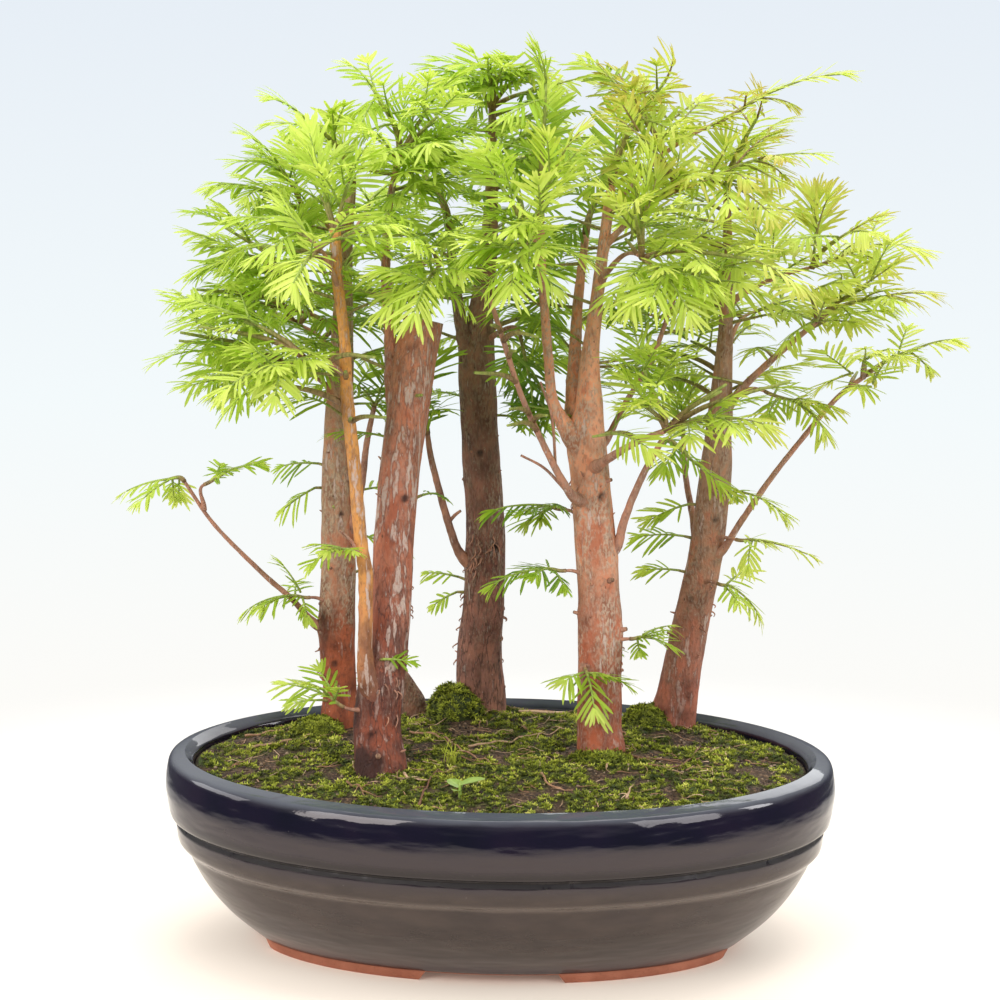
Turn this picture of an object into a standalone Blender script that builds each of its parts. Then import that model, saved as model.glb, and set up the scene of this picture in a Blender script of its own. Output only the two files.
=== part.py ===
"""A dawn redwood bonsai forest in an oval glazed pot.

Five trunks and a cut stump stand in plain holes in domed soil, with moss cushions between them.
Every leafy spray is its own solid: a green twig with flat fronds of two-ranked needles, which
starts 0.3 mm beyond the woody branch that carries it. Metres, +Z up. The origin is under the
middle of the whole forest, on the surface that the pot stands on.
"""

import math
import random

import bmesh
import bpy
from mathutils import Matrix, Vector
from mathutils.bvhtree import BVHTree

MM = 0.001
TOUCH_GAP = 0.3
UP = Vector((0, 0, 1))

# Pot, in millimetres: an oval outline, and walls given as insets from it with their heights
POT_LENGTH = 300.0
POT_DEPTH = 212.0
POT_SIDES = 32
FOOT_HEIGHT = 5.0
FLOOR_TOP = 11.0
FLOOR_SHARE = 0.4
OUTER_WALL = (
    (6.5, 86.0),
    (1.8, 84.0),
    (0.0, 78.5),
    (1.0, 68.0),
    (2.6, 57.5),
    (5.0, 54.0),
    (5.6, 46.5),
    (9.8, 42.5),
    (11.4, 38.0),
    (18.0, 27.0),
    (27.0, 16.0),
    (39.5, FOOT_HEIGHT),
)
FOOT_RING = ((40.3, FOOT_HEIGHT), (41.5, 0.0), (52.0, 0.0), (52.8, FOOT_HEIGHT))
INNER_WALL = ((47.0, FLOOR_TOP), (36.0, 18.5), (21.0, 37.0), (13.4, 56.0), (13.0, 80.0), (11.0, 84.4))
FOOT_GAP_FRONT = 58.0
FOOT_GAP_SIDE = 44.0
FOOT_GAP_SLANT = 3.0
FOOT_LIP = 0.6
DRAIN_RADIUS = 11.0
DRAIN_OFFSET = 52.0
DRAIN_SIDES = 16

# Drain screens: a square sheet with rows of square holes
SCREEN_SIDE = 30.0
SCREEN_THICKNESS = 1.0
SCREEN_BARS = 3
SCREEN_BAR_WIDTH = 2.4

# Soil: a dome, with a rise round the trunks that stand highest (x, y, rise, spread)
SOIL_EDGE = 80.0
SOIL_DOME = 8.0
SOIL_RINGS = (0.84, 0.6, 0.3)
SOIL_RISES = ((-12, 62, 4.5, 24.0), (78, 56, 3.5, 20.0), (-76, 42, 2.0, 20.0))

# Woody routes, in millimetres from the middle of the pot: x, y, z, radius
WOOD = {
    "tree_1": {
        "trunk": (
            (-76, 41, 60, 9.0), (-76, 40, 90, 8.8), (-76, 40, 104, 7.8), (-77, 39, 130, 8.2),
            (-76, 38, 165, 7.7), (-76, 38, 202, 7.3), (-75, 37, 239, 6.2), (-74, 37, 271, 4.8),
            (-73, 36, 303, 3.4), (-70, 35, 335, 2.2),
        ),
        "low_branch": (
            (-77, 39, 131, 2.8), (-87, 35, 136, 2.6), (-97, 32, 148, 2.0), (-110, 30, 160, 1.7),
            (-131, 25, 183, 1.4), (-144, 20, 204, 1.2),
        ),
        "inner_branch": ((-74, 36, 170, 2.6), (-66, 32, 196, 2.0), (-62, 24, 222, 1.6), (-58, 16, 240, 1.3)),
    },
    "tree_2": {
        "trunk": (
            (-51, -35, 58, 12.0), (-51, -35, 86, 11.6), (-53, -32, 106, 10.4), (-51, -30, 124, 10.0),
            (-49, -27, 143, 9.4), (-47, -25, 161, 8.9), (-46, -22, 184, 8.7), (-44, -20, 212, 8.7),
            (-41, -17, 238, 8.9), (-39, -15, 260, 9.8), (-34, -12, 283, 8.4),
        ),
        "young_stem": (
            (-53, -35, 116, 3.9), (-57, -39, 133, 3.9), (-57, -41, 155, 3.7), (-57, -41, 175, 3.6),
            (-59, -41, 189, 3.4), (-62, -41, 224, 3.3), (-65, -41, 251, 3.3), (-66, -42, 278, 2.8),
            (-69, -42, 304, 2.8), (-70, -42, 325, 2.8),
        ),
        "left_leader": (
            (-42, -17, 240, 5.5), (-47, -15, 258, 4.0), (-49, -12, 278, 3.0), (-51, -10, 303, 2.4),
            (-50, -8, 330, 1.9), (-46, -6, 352, 1.5),
        ),
    },
    "tree_3": {
        "trunk": (
            (-12, 63, 62, 12.0), (-12, 62, 92, 11.4), (-13, 61, 118, 10.4), (-11, 59, 138, 9.4),
            (-10, 58, 161, 9.0), (-10, 57, 185, 8.7), (-12, 55, 210, 8.5), (-13, 54, 232, 8.5),
            (-14, 53, 256, 8.2), (-12, 52, 282, 5.2), (-9, 50, 312, 3.8), (-8, 48, 345, 2.4), (-8, 44, 372, 1.6),
        ),
        "left_leader": ((-14, 53, 244, 5.0), (-20, 50, 266, 3.9), (-24, 47, 290, 2.9), (-27, 44, 318, 2.0)),
        "low_branch": ((-11, 58, 156, 2.8), (-21, 53, 165, 2.3), (-27, 49, 182, 2.1), (-34, 44, 210, 1.7), (-36, 41, 224, 1.4)),
    },
    "tree_4": {
        "trunk": (
            (45, -6, 60, 11.2), (45, -6, 88, 10.9), (44, -5, 102, 9.9), (44, -5, 125, 9.7),
            (44, -4, 149, 9.6), (43, -3, 166, 9.2), (41, -2, 190, 8.9), (39, -1, 212, 8.6),
            (37, 0, 230, 8.4), (38, 0, 244, 6.2), (38, 1, 264, 4.2), (40, 2, 286, 3.0),
            (43, 3, 314, 2.5), (46, 4, 341, 1.9),
        ),
        "left_leader": (
            (37, -1, 222, 5.2), (28, -3, 235, 3.6), (22, -4, 247, 2.7), (20, -5, 264, 2.5),
            (17, -7, 300, 2.1), (16, -8, 326, 1.7),
        ),
        "back_leader": ((35, 4, 226, 5.0), (31, 7, 246, 4.2), (31, 11, 264, 3.4), (32, 15, 289, 2.6), (35, 18, 318, 1.8)),
        "long_left": (
            (37, -4, 202, 2.6), (30, -18, 209, 2.2), (19, -27, 231, 1.6), (9, -32, 254, 1.4),
            (2, -36, 276, 1.3), (-5, -41, 299, 1.2),
        ),
        "front_right": ((39, -2, 216, 2.8), (44, -17, 222, 2.3), (50, -28, 228, 2.0), (61, -37, 236, 1.6), (73, -44, 242, 1.3)),
        "low_right": ((42, -3, 171, 2.8), (51, -4, 183, 2.4), (54, -7, 195, 2.1), (61, -11, 214, 1.8), (69, -14, 230, 1.5)),
        "thin_right": ((38, 0, 222, 2.6), (46, 8, 229, 1.8), (53, 10, 243, 1.5), (65, 12, 264, 1.3), (75, 13, 293, 1.1)),
    },
    "tree_5": {
        "trunk": (
            (77, 58, 62, 10.8), (77, 58, 88, 10.6), (79, 56, 100, 9.6), (82, 54, 120, 8.7),
            (86, 53, 141, 8.2), (90, 51, 163, 7.7), (93, 49, 185, 7.5), (95, 47, 207, 7.2),
            (96, 45, 226, 5.9), (97, 44, 250, 4.5), (98, 42, 277, 3.2), (98, 40, 303, 2.4), (97, 36, 332, 1.7),
        ),
        "long_right": (
            (90, 50, 164, 2.6), (99, 44, 172, 2.0), (105, 41, 183, 1.7), (119, 36, 206, 1.5),
            (132, 30, 225, 1.4), (147, 25, 245, 1.3), (160, 20, 257, 1.2),
        ),
        "upper_right": ((95, 46, 228, 2.8), (103, 42, 243, 2.2), (117, 36, 259, 1.8), (138, 25, 280, 1.3)),
        "back_left": ((89, 53, 168, 2.6), (84, 63, 188, 1.8), (81, 67, 204, 1.5), (80, 70, 220, 1.3)),
    },
}
STUMP = ((-42, 66, 66, 7.0), (-43, 66, 88, 6.2), (-46, 65, 98, 4.4), (-49, 64, 106, 2.6))
TRUNK_SIDES = 8
LEADER_SIDES = 5
BRANCH_SIDES = 4
TWIG_SIDES = 4
BRANCH_STEPS = 3
TRUNK_STEP = 30.0
LEADER_STEP = 32.0
BARK_RIPPLE = 0.05

# Cut and broken stubs: tree, height on the trunk, facing in degrees, length, radius
STUBS = (
    ("tree_1", 160, 250, 9.0, 1.4),
    ("tree_2", 92, 272, 13.0, 2.6),
    ("tree_3", 197, 190, 10.0, 1.6),
    ("tree_4", 142, 335, 13.0, 2.2),
    ("tree_4", 165, 300, 12.5, 2.4),
    ("tree_4", 149, 200, 12.5, 1.8),
    ("tree_4", 209, 320, 11.5, 1.9),
    ("tree_5", 128, 215, 11.0, 1.8),
)

# Leafy sprays: tree, route, height on it or None at its end, start of the twig, tip,
# fronds beside the one at the tip, their length, needle length
SPRAYS = (
    ("tree_1", "low_branch", None, (-144, 20, 204), (-174, 19, 200), 2, 18, 10),
    ("tree_1", "low_branch", 190, (-134, 18, 203), (-109, 12, 215), 2, 16, 9),
    ("tree_1", "trunk", 140, (-89, 30, 149), (-123, 26, 146), 2, 20, 11),
    ("tree_1", "trunk", 240, (-98, 32, 254), (-157, 20, 263), 5, 27, 15),
    ("tree_1", "trunk", 268, (-96, 20, 282), (-146, 6, 288), 5, 25, 15),
    ("tree_1", "trunk", 284, (-92, 2, 298), (-137, -12, 308), 5, 25, 15),
    ("tree_1", "trunk", 308, (-90, 22, 326), (-128, -2, 342), 5, 25, 15),
    ("tree_1", "trunk", None, (-70, 35, 335), (-97, 12, 375), 5, 27, 15),
    ("tree_1", "trunk", 256, (-98, 62, 270), (-132, 92, 276), 4, 27, 15),
    ("tree_1", "trunk", 298, (-68, 66, 318), (-60, 104, 330), 4, 27, 15),
    ("tree_2", "trunk", 112, (-67, -42, 117), (-94, -46, 131), 1, 15, 11),
    ("tree_2", "young_stem", 184, (-64, -47, 188), (-82, -58, 185), 1, 14, 9),
    ("tree_2", "left_leader", None, (-46, -6, 352), (-60, -8, 388), 6, 27, 15),
    ("tree_2", "left_leader", 298, (-26, -40, 310), (-34, -86, 296), 6, 27, 16),
    ("tree_2", "young_stem", 300, (-76, -62, 318), (-82, -102, 308), 6, 25, 15),
    ("tree_2", "young_stem", 262, (-82, -56, 272), (-114, -82, 262), 5, 23, 15),
    ("tree_3", "trunk", None, (-8, 44, 372), (-8, 14, 398), 6, 27, 15),
    ("tree_3", "trunk", 322, (-2, 74, 340), (12, 110, 348), 4, 29, 15),
    ("tree_3", "left_leader", None, (-27, 44, 318), (-50, 62, 350), 5, 27, 15),
    ("tree_3", "low_branch", None, (-36, 41, 224), (-34, 14, 246), 2, 24, 13),
    ("tree_3", "trunk", 262, (6, 34, 270), (14, 6, 238), 3, 24, 15),
    ("tree_4", "trunk", 122, (38, -19, 130), (44, -40, 116), 1, 16, 13),
    ("tree_4", "trunk", 136, (58, -10, 142), (78, -14, 143), 1, 15, 10),
    ("tree_4", "trunk", 164, (28, -9, 172), (-8, -17, 169), 1, 18, 12),
    ("tree_4", "trunk", 186, (26, 4, 197), (-8, -4, 198), 2, 18, 12),
    ("tree_4", "front_right", None, (73, -44, 242), (116, -64, 250), 6, 25, 15),
    ("tree_4", "low_right", None, (69, -14, 230), (98, -28, 214), 3, 22, 14),
    ("tree_4", "thin_right", None, (75, 13, 293), (114, -4, 312), 6, 27, 15),
    ("tree_4", "trunk", 314, (84, -14, 344), (134, -22, 360), 5, 27, 15),
    ("tree_4", "trunk", 328, (90, 2, 368), (145, -2, 393), 4, 23, 15),
    ("tree_4", "trunk", 298, (60, -38, 314), (80, -84, 300), 6, 27, 16),
    ("tree_4", "trunk", None, (46, 4, 341), (74, -10, 394), 6, 27, 15),
    ("tree_4", "left_leader", None, (16, -8, 326), (18, -12, 396), 6, 27, 15),
    ("tree_4", "left_leader", 298, (12, -42, 322), (6, -90, 308), 6, 29, 17),
    ("tree_4", "back_leader", None, (35, 18, 318), (50, 54, 352), 4, 29, 15),
    ("tree_5", "trunk", 196, (98, 34, 200), (132, 18, 197), 1, 20, 12),
    ("tree_5", "trunk", 174, (105, 36, 178), (142, 24, 172), 2, 20, 12),
    ("tree_5", "trunk", 152, (97, 38, 157), (121, 26, 149), 1, 18, 12),
    ("tree_5", "long_right", None, (160, 20, 257), (200, 13, 276), 4, 22, 12),
    ("tree_5", "upper_right", None, (138, 25, 280), (189, 10, 297), 5, 23, 15),
    ("tree_5", "trunk", 284, (136, 40, 302), (187, 30, 317), 5, 25, 15),
    ("tree_5", "trunk", None, (97, 36, 332), (112, 14, 376), 5, 27, 15),
    ("tree_5", "trunk", 262, (112, 68, 278), (146, 96, 284), 4, 27, 15),
    ("tree_5", "trunk", 238, (116, 22, 248), (144, -8, 238), 5, 21, 15),
)
SEED = 11
STEEP = 0.72
TWIG_SHARE = 0.54
LOW_TWIG_SHARE = 0.24
STEEP_TWIG_SHARE = 0.8
TWIG_STEPS = 3
TWIG_RADIUS = 0.9
SIDE_TURN = 54
ROUND_TURN = 137.5
FROND_BASE = 4.0
NEEDLE_PITCH = 10.8
FEWEST_PAIRS = 2
RIB_WIDTH = 1.4
RIB_THICKNESS = 1.1
NEEDLE_DROOP = 0.16
FROND_TRIES = 24
CROWN_MIDDLE = (15, 2, 285)
CROWN_RADII = (186, 106, 121)
CROWN_FOOT = 200.0
# Bare wood that stays in view: middle and half sizes across and up, and how far back it stands
BARE_WOOD = (
    ((-38, 255), (19, 33), -12),
    ((-64, 262), (12, 62), -44),
    ((30, 256), (22, 50), -6),
    ((8, 258), (16, 30), -34),
    ((-14, 246), (15, 38), 50),
    ((93, 208), (14, 22), 46),
)
ROOM_SHARES = (0.3, 0.65, 1.0)
CLEARANCE = 1.12

# Moss cushions: name, trunk that each one hugs, middle, radii
MOSS = (
    ("moss_tree_1", "tree_1", (-84, 30, 86), (12, 11, 7)),
    ("moss_tree_3", "tree_3", (-23, 52, 90), (13, 12, 15)),
    ("moss_tree_4", "tree_4", (46, -15, 86), (16, 9, 6)),
    ("moss_tree_5", "tree_5", (66, 52, 87), (11, 10, 9)),
)
MOSS_SIDES = 10
MOSS_RINGS = 5

FALLEN_TWIG = ((2, 78, 0.9), (16, 80, 1.2), (32, 79, 1.1), (44, 82, 0.8))
SEEDLING = (-14, -70)
SEEDLING_STALK = (0.8, 7.0)
SEEDLING_LEAVES = ((8, 11.0, 4.0), (128, 8.5, 3.4), (250, 6.0, 2.6))
LEAF_THICKNESS = 0.8


def clear_scene():
    """Remove every object that the file opened with."""
    for obj in list(bpy.data.objects):
        bpy.data.objects.remove(obj)


def material(name, colour, roughness):
    """A plain Principled material of one colour."""
    made = bpy.data.materials.new(name)
    made.use_nodes = True
    shader = made.node_tree.nodes["Principled BSDF"]
    shader.inputs["Base Color"].default_value = (*colour, 1)
    shader.inputs["Roughness"].default_value = roughness
    made.diffuse_color = (*colour, 1)
    return made


def add_object(name, shape, finish=None):
    """A mesh object from points in millimetres and faces, which are turned outwards."""
    points, faces = shape
    mesh = bpy.data.meshes.new(name)
    mesh.from_pydata([Vector(p) * MM for p in points], [], faces)
    skin = bmesh.new()
    skin.from_mesh(mesh)
    bmesh.ops.recalc_face_normals(skin, faces=skin.faces)
    skin.to_mesh(mesh)
    skin.free()
    obj = bpy.data.objects.new(name, mesh)
    bpy.context.scene.collection.objects.link(obj)
    if finish:
        mesh.materials.append(finish)
    return obj


def combine(obj, others, operation):
    """Apply one Boolean of obj with other objects, which are then removed."""
    group = bpy.data.collections.new("others")
    for other in others:
        group.objects.link(other)
    change = obj.modifiers.new("combine", "BOOLEAN")
    change.operation = operation
    change.solver = "EXACT"
    change.operand_type = "COLLECTION"
    change.collection = group
    bpy.context.view_layer.update()
    evaluated = obj.evaluated_get(bpy.context.evaluated_depsgraph_get())
    result = bpy.data.meshes.new_from_object(evaluated)
    obj.modifiers.clear()
    obj.data = result
    for other in others:
        bpy.data.objects.remove(other)
    bpy.data.collections.remove(group)
    return obj


def skin_over(rings, bottom=True, top=True):
    """Points and faces of a skin over rings that have the same number of points."""
    sides = len(rings[0])
    points = [p for ring in rings for p in ring]
    faces = []
    for k in range(len(rings) - 1):
        for i in range(sides):
            a, b = k * sides + i, k * sides + (i + 1) % sides
            faces += [(a, b, b + sides), (a, b + sides, a + sides)]
    if bottom:
        faces.append(tuple(range(sides))[::-1])
    if top:
        faces.append(tuple(range(len(points) - sides, len(points))))
    return points, faces


def oval(inset, z, share=1.0):
    """A level ring of the pot's outline, moved in by inset and drawn in to a share of itself."""
    half_length = (POT_LENGTH / 2 - inset) * share
    half_depth = (POT_DEPTH / 2 - inset) * share
    turns = [2 * math.pi * (i + 0.5) / POT_SIDES for i in range(POT_SIDES)]
    return [Vector((half_length * math.cos(t), half_depth * math.sin(t), z)) for t in turns]


def box(name, low, high):
    """A plain box between two corners."""
    corners = [(x, y, z) for x in (low[0], high[0]) for y in (low[1], high[1]) for z in (low[2], high[2])]
    faces = ((0, 1, 3, 2), (4, 6, 7, 5), (0, 4, 5, 1), (2, 3, 7, 6), (0, 2, 6, 4), (1, 5, 7, 3))
    return add_object(name, (corners, faces))


def foot_gap(name, width, along):
    """A cutter with slanted ends that parts the foot ring on both sides of the pot."""
    across = UP.cross(along)
    past = POT_LENGTH
    top = FOOT_HEIGHT - FOOT_LIP
    rings = []
    for z, half in ((-past, width / 2 + FOOT_GAP_SLANT), (0.0, width / 2 + FOOT_GAP_SLANT), (top, width / 2)):
        ends = ((-half, -past), (half, -past), (half, past), (-half, past))
        rings.append([across * a + along * b + UP * z for a, b in ends])
    return add_object(name, skin_over(rings))


def cylinder(name, x, y, low, high, radius, sides):
    """An upright cylinder."""
    turns = [2 * math.pi * i / sides for i in range(sides)]
    rings = [[(x + radius * math.cos(t), y + radius * math.sin(t), z) for t in turns] for z in (low, high)]
    return add_object(name, skin_over(rings))


def make_pot():
    """One fired body: rolled rim, ribbed wall, bare foot ring cut into four feet, two drain holes."""
    outside = [oval(inset, z) for inset, z in OUTER_WALL + FOOT_RING]
    outside.append(oval(FOOT_RING[-1][0], FOOT_HEIGHT, FLOOR_SHARE))
    inside = [oval(INNER_WALL[0][0], FLOOR_TOP, FLOOR_SHARE)]
    inside += [oval(inset, z) for inset, z in INNER_WALL]
    points, faces = skin_over(outside, bottom=False)
    more_points, more_faces = skin_over(inside, top=False)
    first = len(points)
    faces += [tuple(i + first for i in face) for face in more_faces]
    points += more_points
    last = len(points) - POT_SIDES
    for i in range(POT_SIDES):
        j = (i + 1) % POT_SIDES
        faces += [(i, j, last + j), (i, last + j, last + i)]
    pot = add_object("pot", (points, faces), material("navy_glaze", (0.02, 0.02, 0.05), 0.12))
    cutters = [
        foot_gap("front_gap", FOOT_GAP_FRONT, Vector((0, 1, 0))),
        foot_gap("side_gap", FOOT_GAP_SIDE, Vector((1, 0, 0))),
    ]
    for side in (-1, 1):
        x = side * DRAIN_OFFSET
        cutters.append(cylinder("drain", x, 0, -FLOOR_TOP, 2 * FLOOR_TOP, DRAIN_RADIUS, DRAIN_SIDES))
    return combine(pot, cutters, "DIFFERENCE")


def soil_height(x, y):
    """Height of the soil surface over a point of the pot."""
    inset = INNER_WALL[-2][0]
    out = min(1.0, math.hypot(x / (POT_LENGTH / 2 - inset), y / (POT_DEPTH / 2 - inset)))
    height = SOIL_EDGE + SOIL_DOME * (1 - out**3)
    for rise_x, rise_y, rise, spread in SOIL_RISES:
        away = math.hypot(x - rise_x, y - rise_y) / spread
        height += rise * math.exp(-away * away) * (1 - out**6)
    return height


def soil_shape(lift=0.0):
    """The soil that fills the pot, clear of its wall and floor: points and faces."""
    rings = [oval(inset + TOUCH_GAP, z + TOUCH_GAP + lift) for inset, z in INNER_WALL[:-1]]
    edge = rings[-1]
    for share in SOIL_RINGS:
        places = [(p.x * share, p.y * share) for p in edge]
        rings.append([Vector((x, y, soil_height(x, y) + lift)) for x, y in places])
    points, faces = skin_over(rings, top=False)
    middle = len(points)
    last = middle - POT_SIDES
    points.append(Vector((0, 0, soil_height(0, 0) + lift)))
    faces += [(last + i, last + (i + 1) % POT_SIDES, middle) for i in range(POT_SIDES)]
    return points, faces


def make_screen(name, middle):
    """A square mesh screen over a drain hole, laid on the pot's floor."""
    half = SCREEN_SIDE / 2
    low = FLOOR_TOP + TOUCH_GAP
    sheet = box(name, (middle - half, -half, low), (middle + half, half, low + SCREEN_THICKNESS))
    pitch = (SCREEN_SIDE - SCREEN_BAR_WIDTH) / (SCREEN_BARS - 1)
    size = pitch - SCREEN_BAR_WIDTH
    holes = []
    for column in range(SCREEN_BARS - 1):
        for row in range(SCREEN_BARS - 1):
            x = middle - half + SCREEN_BAR_WIDTH + column * pitch
            y = -half + SCREEN_BAR_WIDTH + row * pitch
            holes.append(box("hole", (x, y, 0), (x + size, y + size, low + FLOOR_TOP)))
    combine(sheet, holes, "DIFFERENCE")
    sheet.data.materials.append(material(name + "_plastic", (0.03, 0.03, 0.03), 0.6))
    return sheet


def smooth_route(points, step):
    """A smooth curve through x, y, z, radius rows, read about every step millimetres."""
    rows = [Vector(p) for p in points]
    ends = [rows[0] * 2 - rows[1]] + rows + [rows[-1] * 2 - rows[-2]]
    route = [rows[0]]
    for k in range(1, len(rows)):
        a, b, c, d = ends[k - 1 : k + 3]
        parts = max(1, round((c - b).length / step))
        for i in range(1, parts + 1):
            t = i / parts
            bow = (c - a) * t + (a * 2 - b * 5 + c * 4 - d) * t**2 + (b * 3 - a - c * 3 + d) * t**3
            route.append(b + bow * 0.5)
    return route


def tube(route, sides, ripple=0.0, grow=0.0, leave=None, arrive=None):
    """Points and faces of a closed tube along x, y, z, radius rows."""
    rings = []
    across = None
    for k, row in enumerate(route):
        ahead = route[min(k + 1, len(route) - 1)].to_3d() - route[max(k - 1, 0)].to_3d()
        if k == 0 and leave:
            ahead = leave.copy()
        if k == len(route) - 1 and arrive:
            ahead = arrive.copy()
        ahead.normalize()
        if across is None:
            across = Vector((1, 0, 0)) if abs(ahead.x) < 0.8 else UP
        across = (across - ahead * across.dot(ahead)).normalized()
        other = ahead.cross(across)
        ring = []
        for i in range(sides):
            angle = 2 * math.pi * i / sides
            radius = row.w * (1 + ripple * math.sin(3 * angle + 0.02 * row.z)) + grow
            ring.append(row.to_3d() + across * (radius * math.cos(angle)) + other * (radius * math.sin(angle)))
        rings.append(ring)
    return skin_over(rings)


def at_height(route, z):
    """The point of a route at a height."""
    for low, high in zip(route, route[1:]):
        if low.z <= z <= high.z:
            return low.lerp(high, (z - low.z) / (high.z - low.z)).to_3d()
    return route[-1].to_3d()


def bend(start, leaving, end, arriving, count):
    """Points of a curve from start to end that leaves and arrives along two directions."""
    reach = (end - start).length * 0.38
    first, second = start + leaving * reach, end - arriving * reach
    curve = []
    for i in range(count + 1):
        t = i / count
        s = 1 - t
        curve.append(start * s**3 + first * (3 * s * s * t) + second * (3 * s * t * t) + end * t**3)
    return curve


def rows_of(curve, first_radius, last_radius):
    """A curve's points with a radius that runs from first to last."""
    last = len(curve) - 1
    return [Vector((*p, first_radius + (last_radius - first_radius) * i / last)) for i, p in enumerate(curve)]


def spray_plan(spray, routes):
    """Where a spray's twig leaves the wood: its direction, and the rows of a branch of its own or None."""
    tree, part, height, start, tip = spray[:5]
    route = routes[tree, part]
    start, tip = Vector(start), Vector(tip)
    if height is None:
        leaving = (route[-1].to_3d() - route[-2].to_3d()).normalized()
        return leaving, None, route[-1].w
    heading = (tip - start).normalized()
    root = at_height(route, height)
    outwards = ((start - root).normalized() + UP * 0.3).normalized()
    curve = bend(root, outwards, start - heading * TOUCH_GAP, heading, BRANCH_STEPS)
    thick = min(1.25 + 0.018 * (start - root).length, 2.0)
    return heading, rows_of(curve, thick, TWIG_RADIUS), TWIG_RADIUS


def limb_shapes(tree, routes, plans):
    """The shapes that a tree is fused from: its trunk, leaders, branches and stubs."""
    shapes = [tube(routes[tree, "trunk"], TRUNK_SIDES, BARK_RIPPLE)]
    for part in WOOD[tree]:
        if part != "trunk":
            route = routes[tree, part]
            shapes.append(tube(route, LEADER_SIDES if route[0].w > 3 else BRANCH_SIDES))
    for spray, (heading, branch, _) in zip(SPRAYS, plans):
        if spray[0] == tree and branch:
            shapes.append(tube(branch, TWIG_SIDES, arrive=heading))
    for owner, height, facing, length, radius in STUBS:
        if owner == tree:
            root = at_height(routes[tree, "trunk"], height)
            turn = math.radians(facing)
            tip = root + Vector((math.cos(turn), math.sin(turn), 0.35)) * length
            shapes.append(tube(rows_of([root, tip], radius, radius * 0.7), BRANCH_SIDES))
    return shapes


def make_tree(tree, shapes):
    """One tree: its trunk with everything that grows out of it."""
    trunk, *limbs = [add_object(tree if k == 0 else "limb", shape) for k, shape in enumerate(shapes)]
    return combine(trunk, limbs, "UNION")


def frond_frames(root, heading, face, length, droop, pairs):
    """Stations along a drooping frond: middle, direction, side and face of each."""
    side = heading.cross(face).normalized()
    above = side.cross(heading).normalized()
    steps = [FROND_BASE] + [(length - FROND_BASE) / (pairs + 0.5)] * pairs
    frames = [(root, heading, side, above)]
    here, ahead = root, heading
    for step in steps:
        turn = Matrix.Rotation(-droop * step / length, 3, side)
        ahead, above = turn @ ahead, turn @ above
        here = here + ahead * step
        frames.append((here, ahead, side, above))
    return frames


def needle_angle(along):
    """Angle in radians between a needle and its rib, from the frond's base to its tip."""
    return math.radians(70 - 36 * along)


def needle_share(along):
    """Length of a needle as a share of the longest, from the frond's base to its tip."""
    return 0.55 + 0.45 * math.sin(math.pi * min(1.0, 0.2 + 0.68 * along))


def frond_shape(frond, grow=1.0):
    """Points and faces of a frond: a slim rib whose side faces are drawn out into needles."""
    root, heading, face, length, droop, pairs, needle = frond
    frames = frond_frames(root, heading, face, length, droop, pairs)
    points, faces = [], []
    for k, (here, _, side, above) in enumerate(frames):
        taper = (1 - 0.4 * k / len(frames)) * grow
        wide, thick = side * (RIB_WIDTH / 2 * taper), above * (RIB_THICKNESS / 2 * taper)
        points += [here - wide - thick, here + wide - thick, here + thick]
    faces.append((0, 1, 2))
    for k in range(len(frames) - 1):
        a, b = 3 * k, 3 * k + 3
        faces += [(a, b, b + 1), (a, b + 1, a + 1)]
        quads = ((1, (a + 1, a + 2, b + 2, b + 1)), (-1, (a, b, b + 2, a + 2)))
        if k == 0:
            faces += [quad for _, quad in quads]
            continue
        along = k / (len(frames) - 1)
        reach = needle * needle_share(along) * grow
        _, ahead, side, above = frames[k]
        middle = (frames[k][0] + frames[k + 1][0]) / 2
        for sign, quad in quads:
            out = side * (sign * math.sin(needle_angle(along))) + ahead * math.cos(needle_angle(along))
            points.append(middle + (out - above * NEEDLE_DROOP) * reach)
            tip = len(points) - 1
            faces += [(quad[i], quad[(i + 1) % 4], tip) for i in range(4)]
    here, ahead = frames[-1][:2]
    points.append(here + ahead * (needle * 0.7 * grow))
    end, tip = 3 * (len(frames) - 1), len(points) - 1
    faces += [(end, end + 1, tip), (end + 1, end + 2, tip), (end + 2, end, tip)]
    return points, faces


def twig_share(spray):
    """How much of a spray is its twig: least in the low shoots, most in the upright ones."""
    if (Vector(spray[4]) - Vector(spray[3])).normalized().z > STEEP:
        return STEEP_TWIG_SHARE
    return TWIG_SHARE if Vector(spray[4]).z > CROWN_FOOT else LOW_TWIG_SHARE


def twig_route(spray, plan, wobble):
    """Rows of a spray's twig, and the direction in which it starts."""
    start, tip = Vector(spray[3]), Vector(spray[4])
    heading, branch, radius = plan
    first = start + heading * (0.0 if branch else TOUCH_GAP)
    length = (tip - start).length
    end = start.lerp(tip, twig_share(spray)) + UP * (0.05 * length) + wobble
    curve = bend(first, heading, end, (tip - end).normalized(), TWIG_STEPS)
    return rows_of(curve, radius, TWIG_RADIUS * 0.75), heading


def turned(heading, turn, lift):
    """A direction turned sideways and then lifted, both in degrees."""
    flat = Matrix.Rotation(math.radians(turn), 3, "Z") @ heading
    return (flat.normalized() + UP * math.tan(math.radians(lift))).normalized()


def side_heading(heading, k):
    """Where side frond k points: left and right by turns, or all round an upright twig."""
    if heading.z > STEEP:
        return Matrix.Rotation(math.radians(ROUND_TURN * k), 3, "Z") @ Vector((0, -1, 0))
    return Matrix.Rotation(math.radians(SIDE_TURN * (-1) ** k), 3, "Z") @ heading


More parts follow.
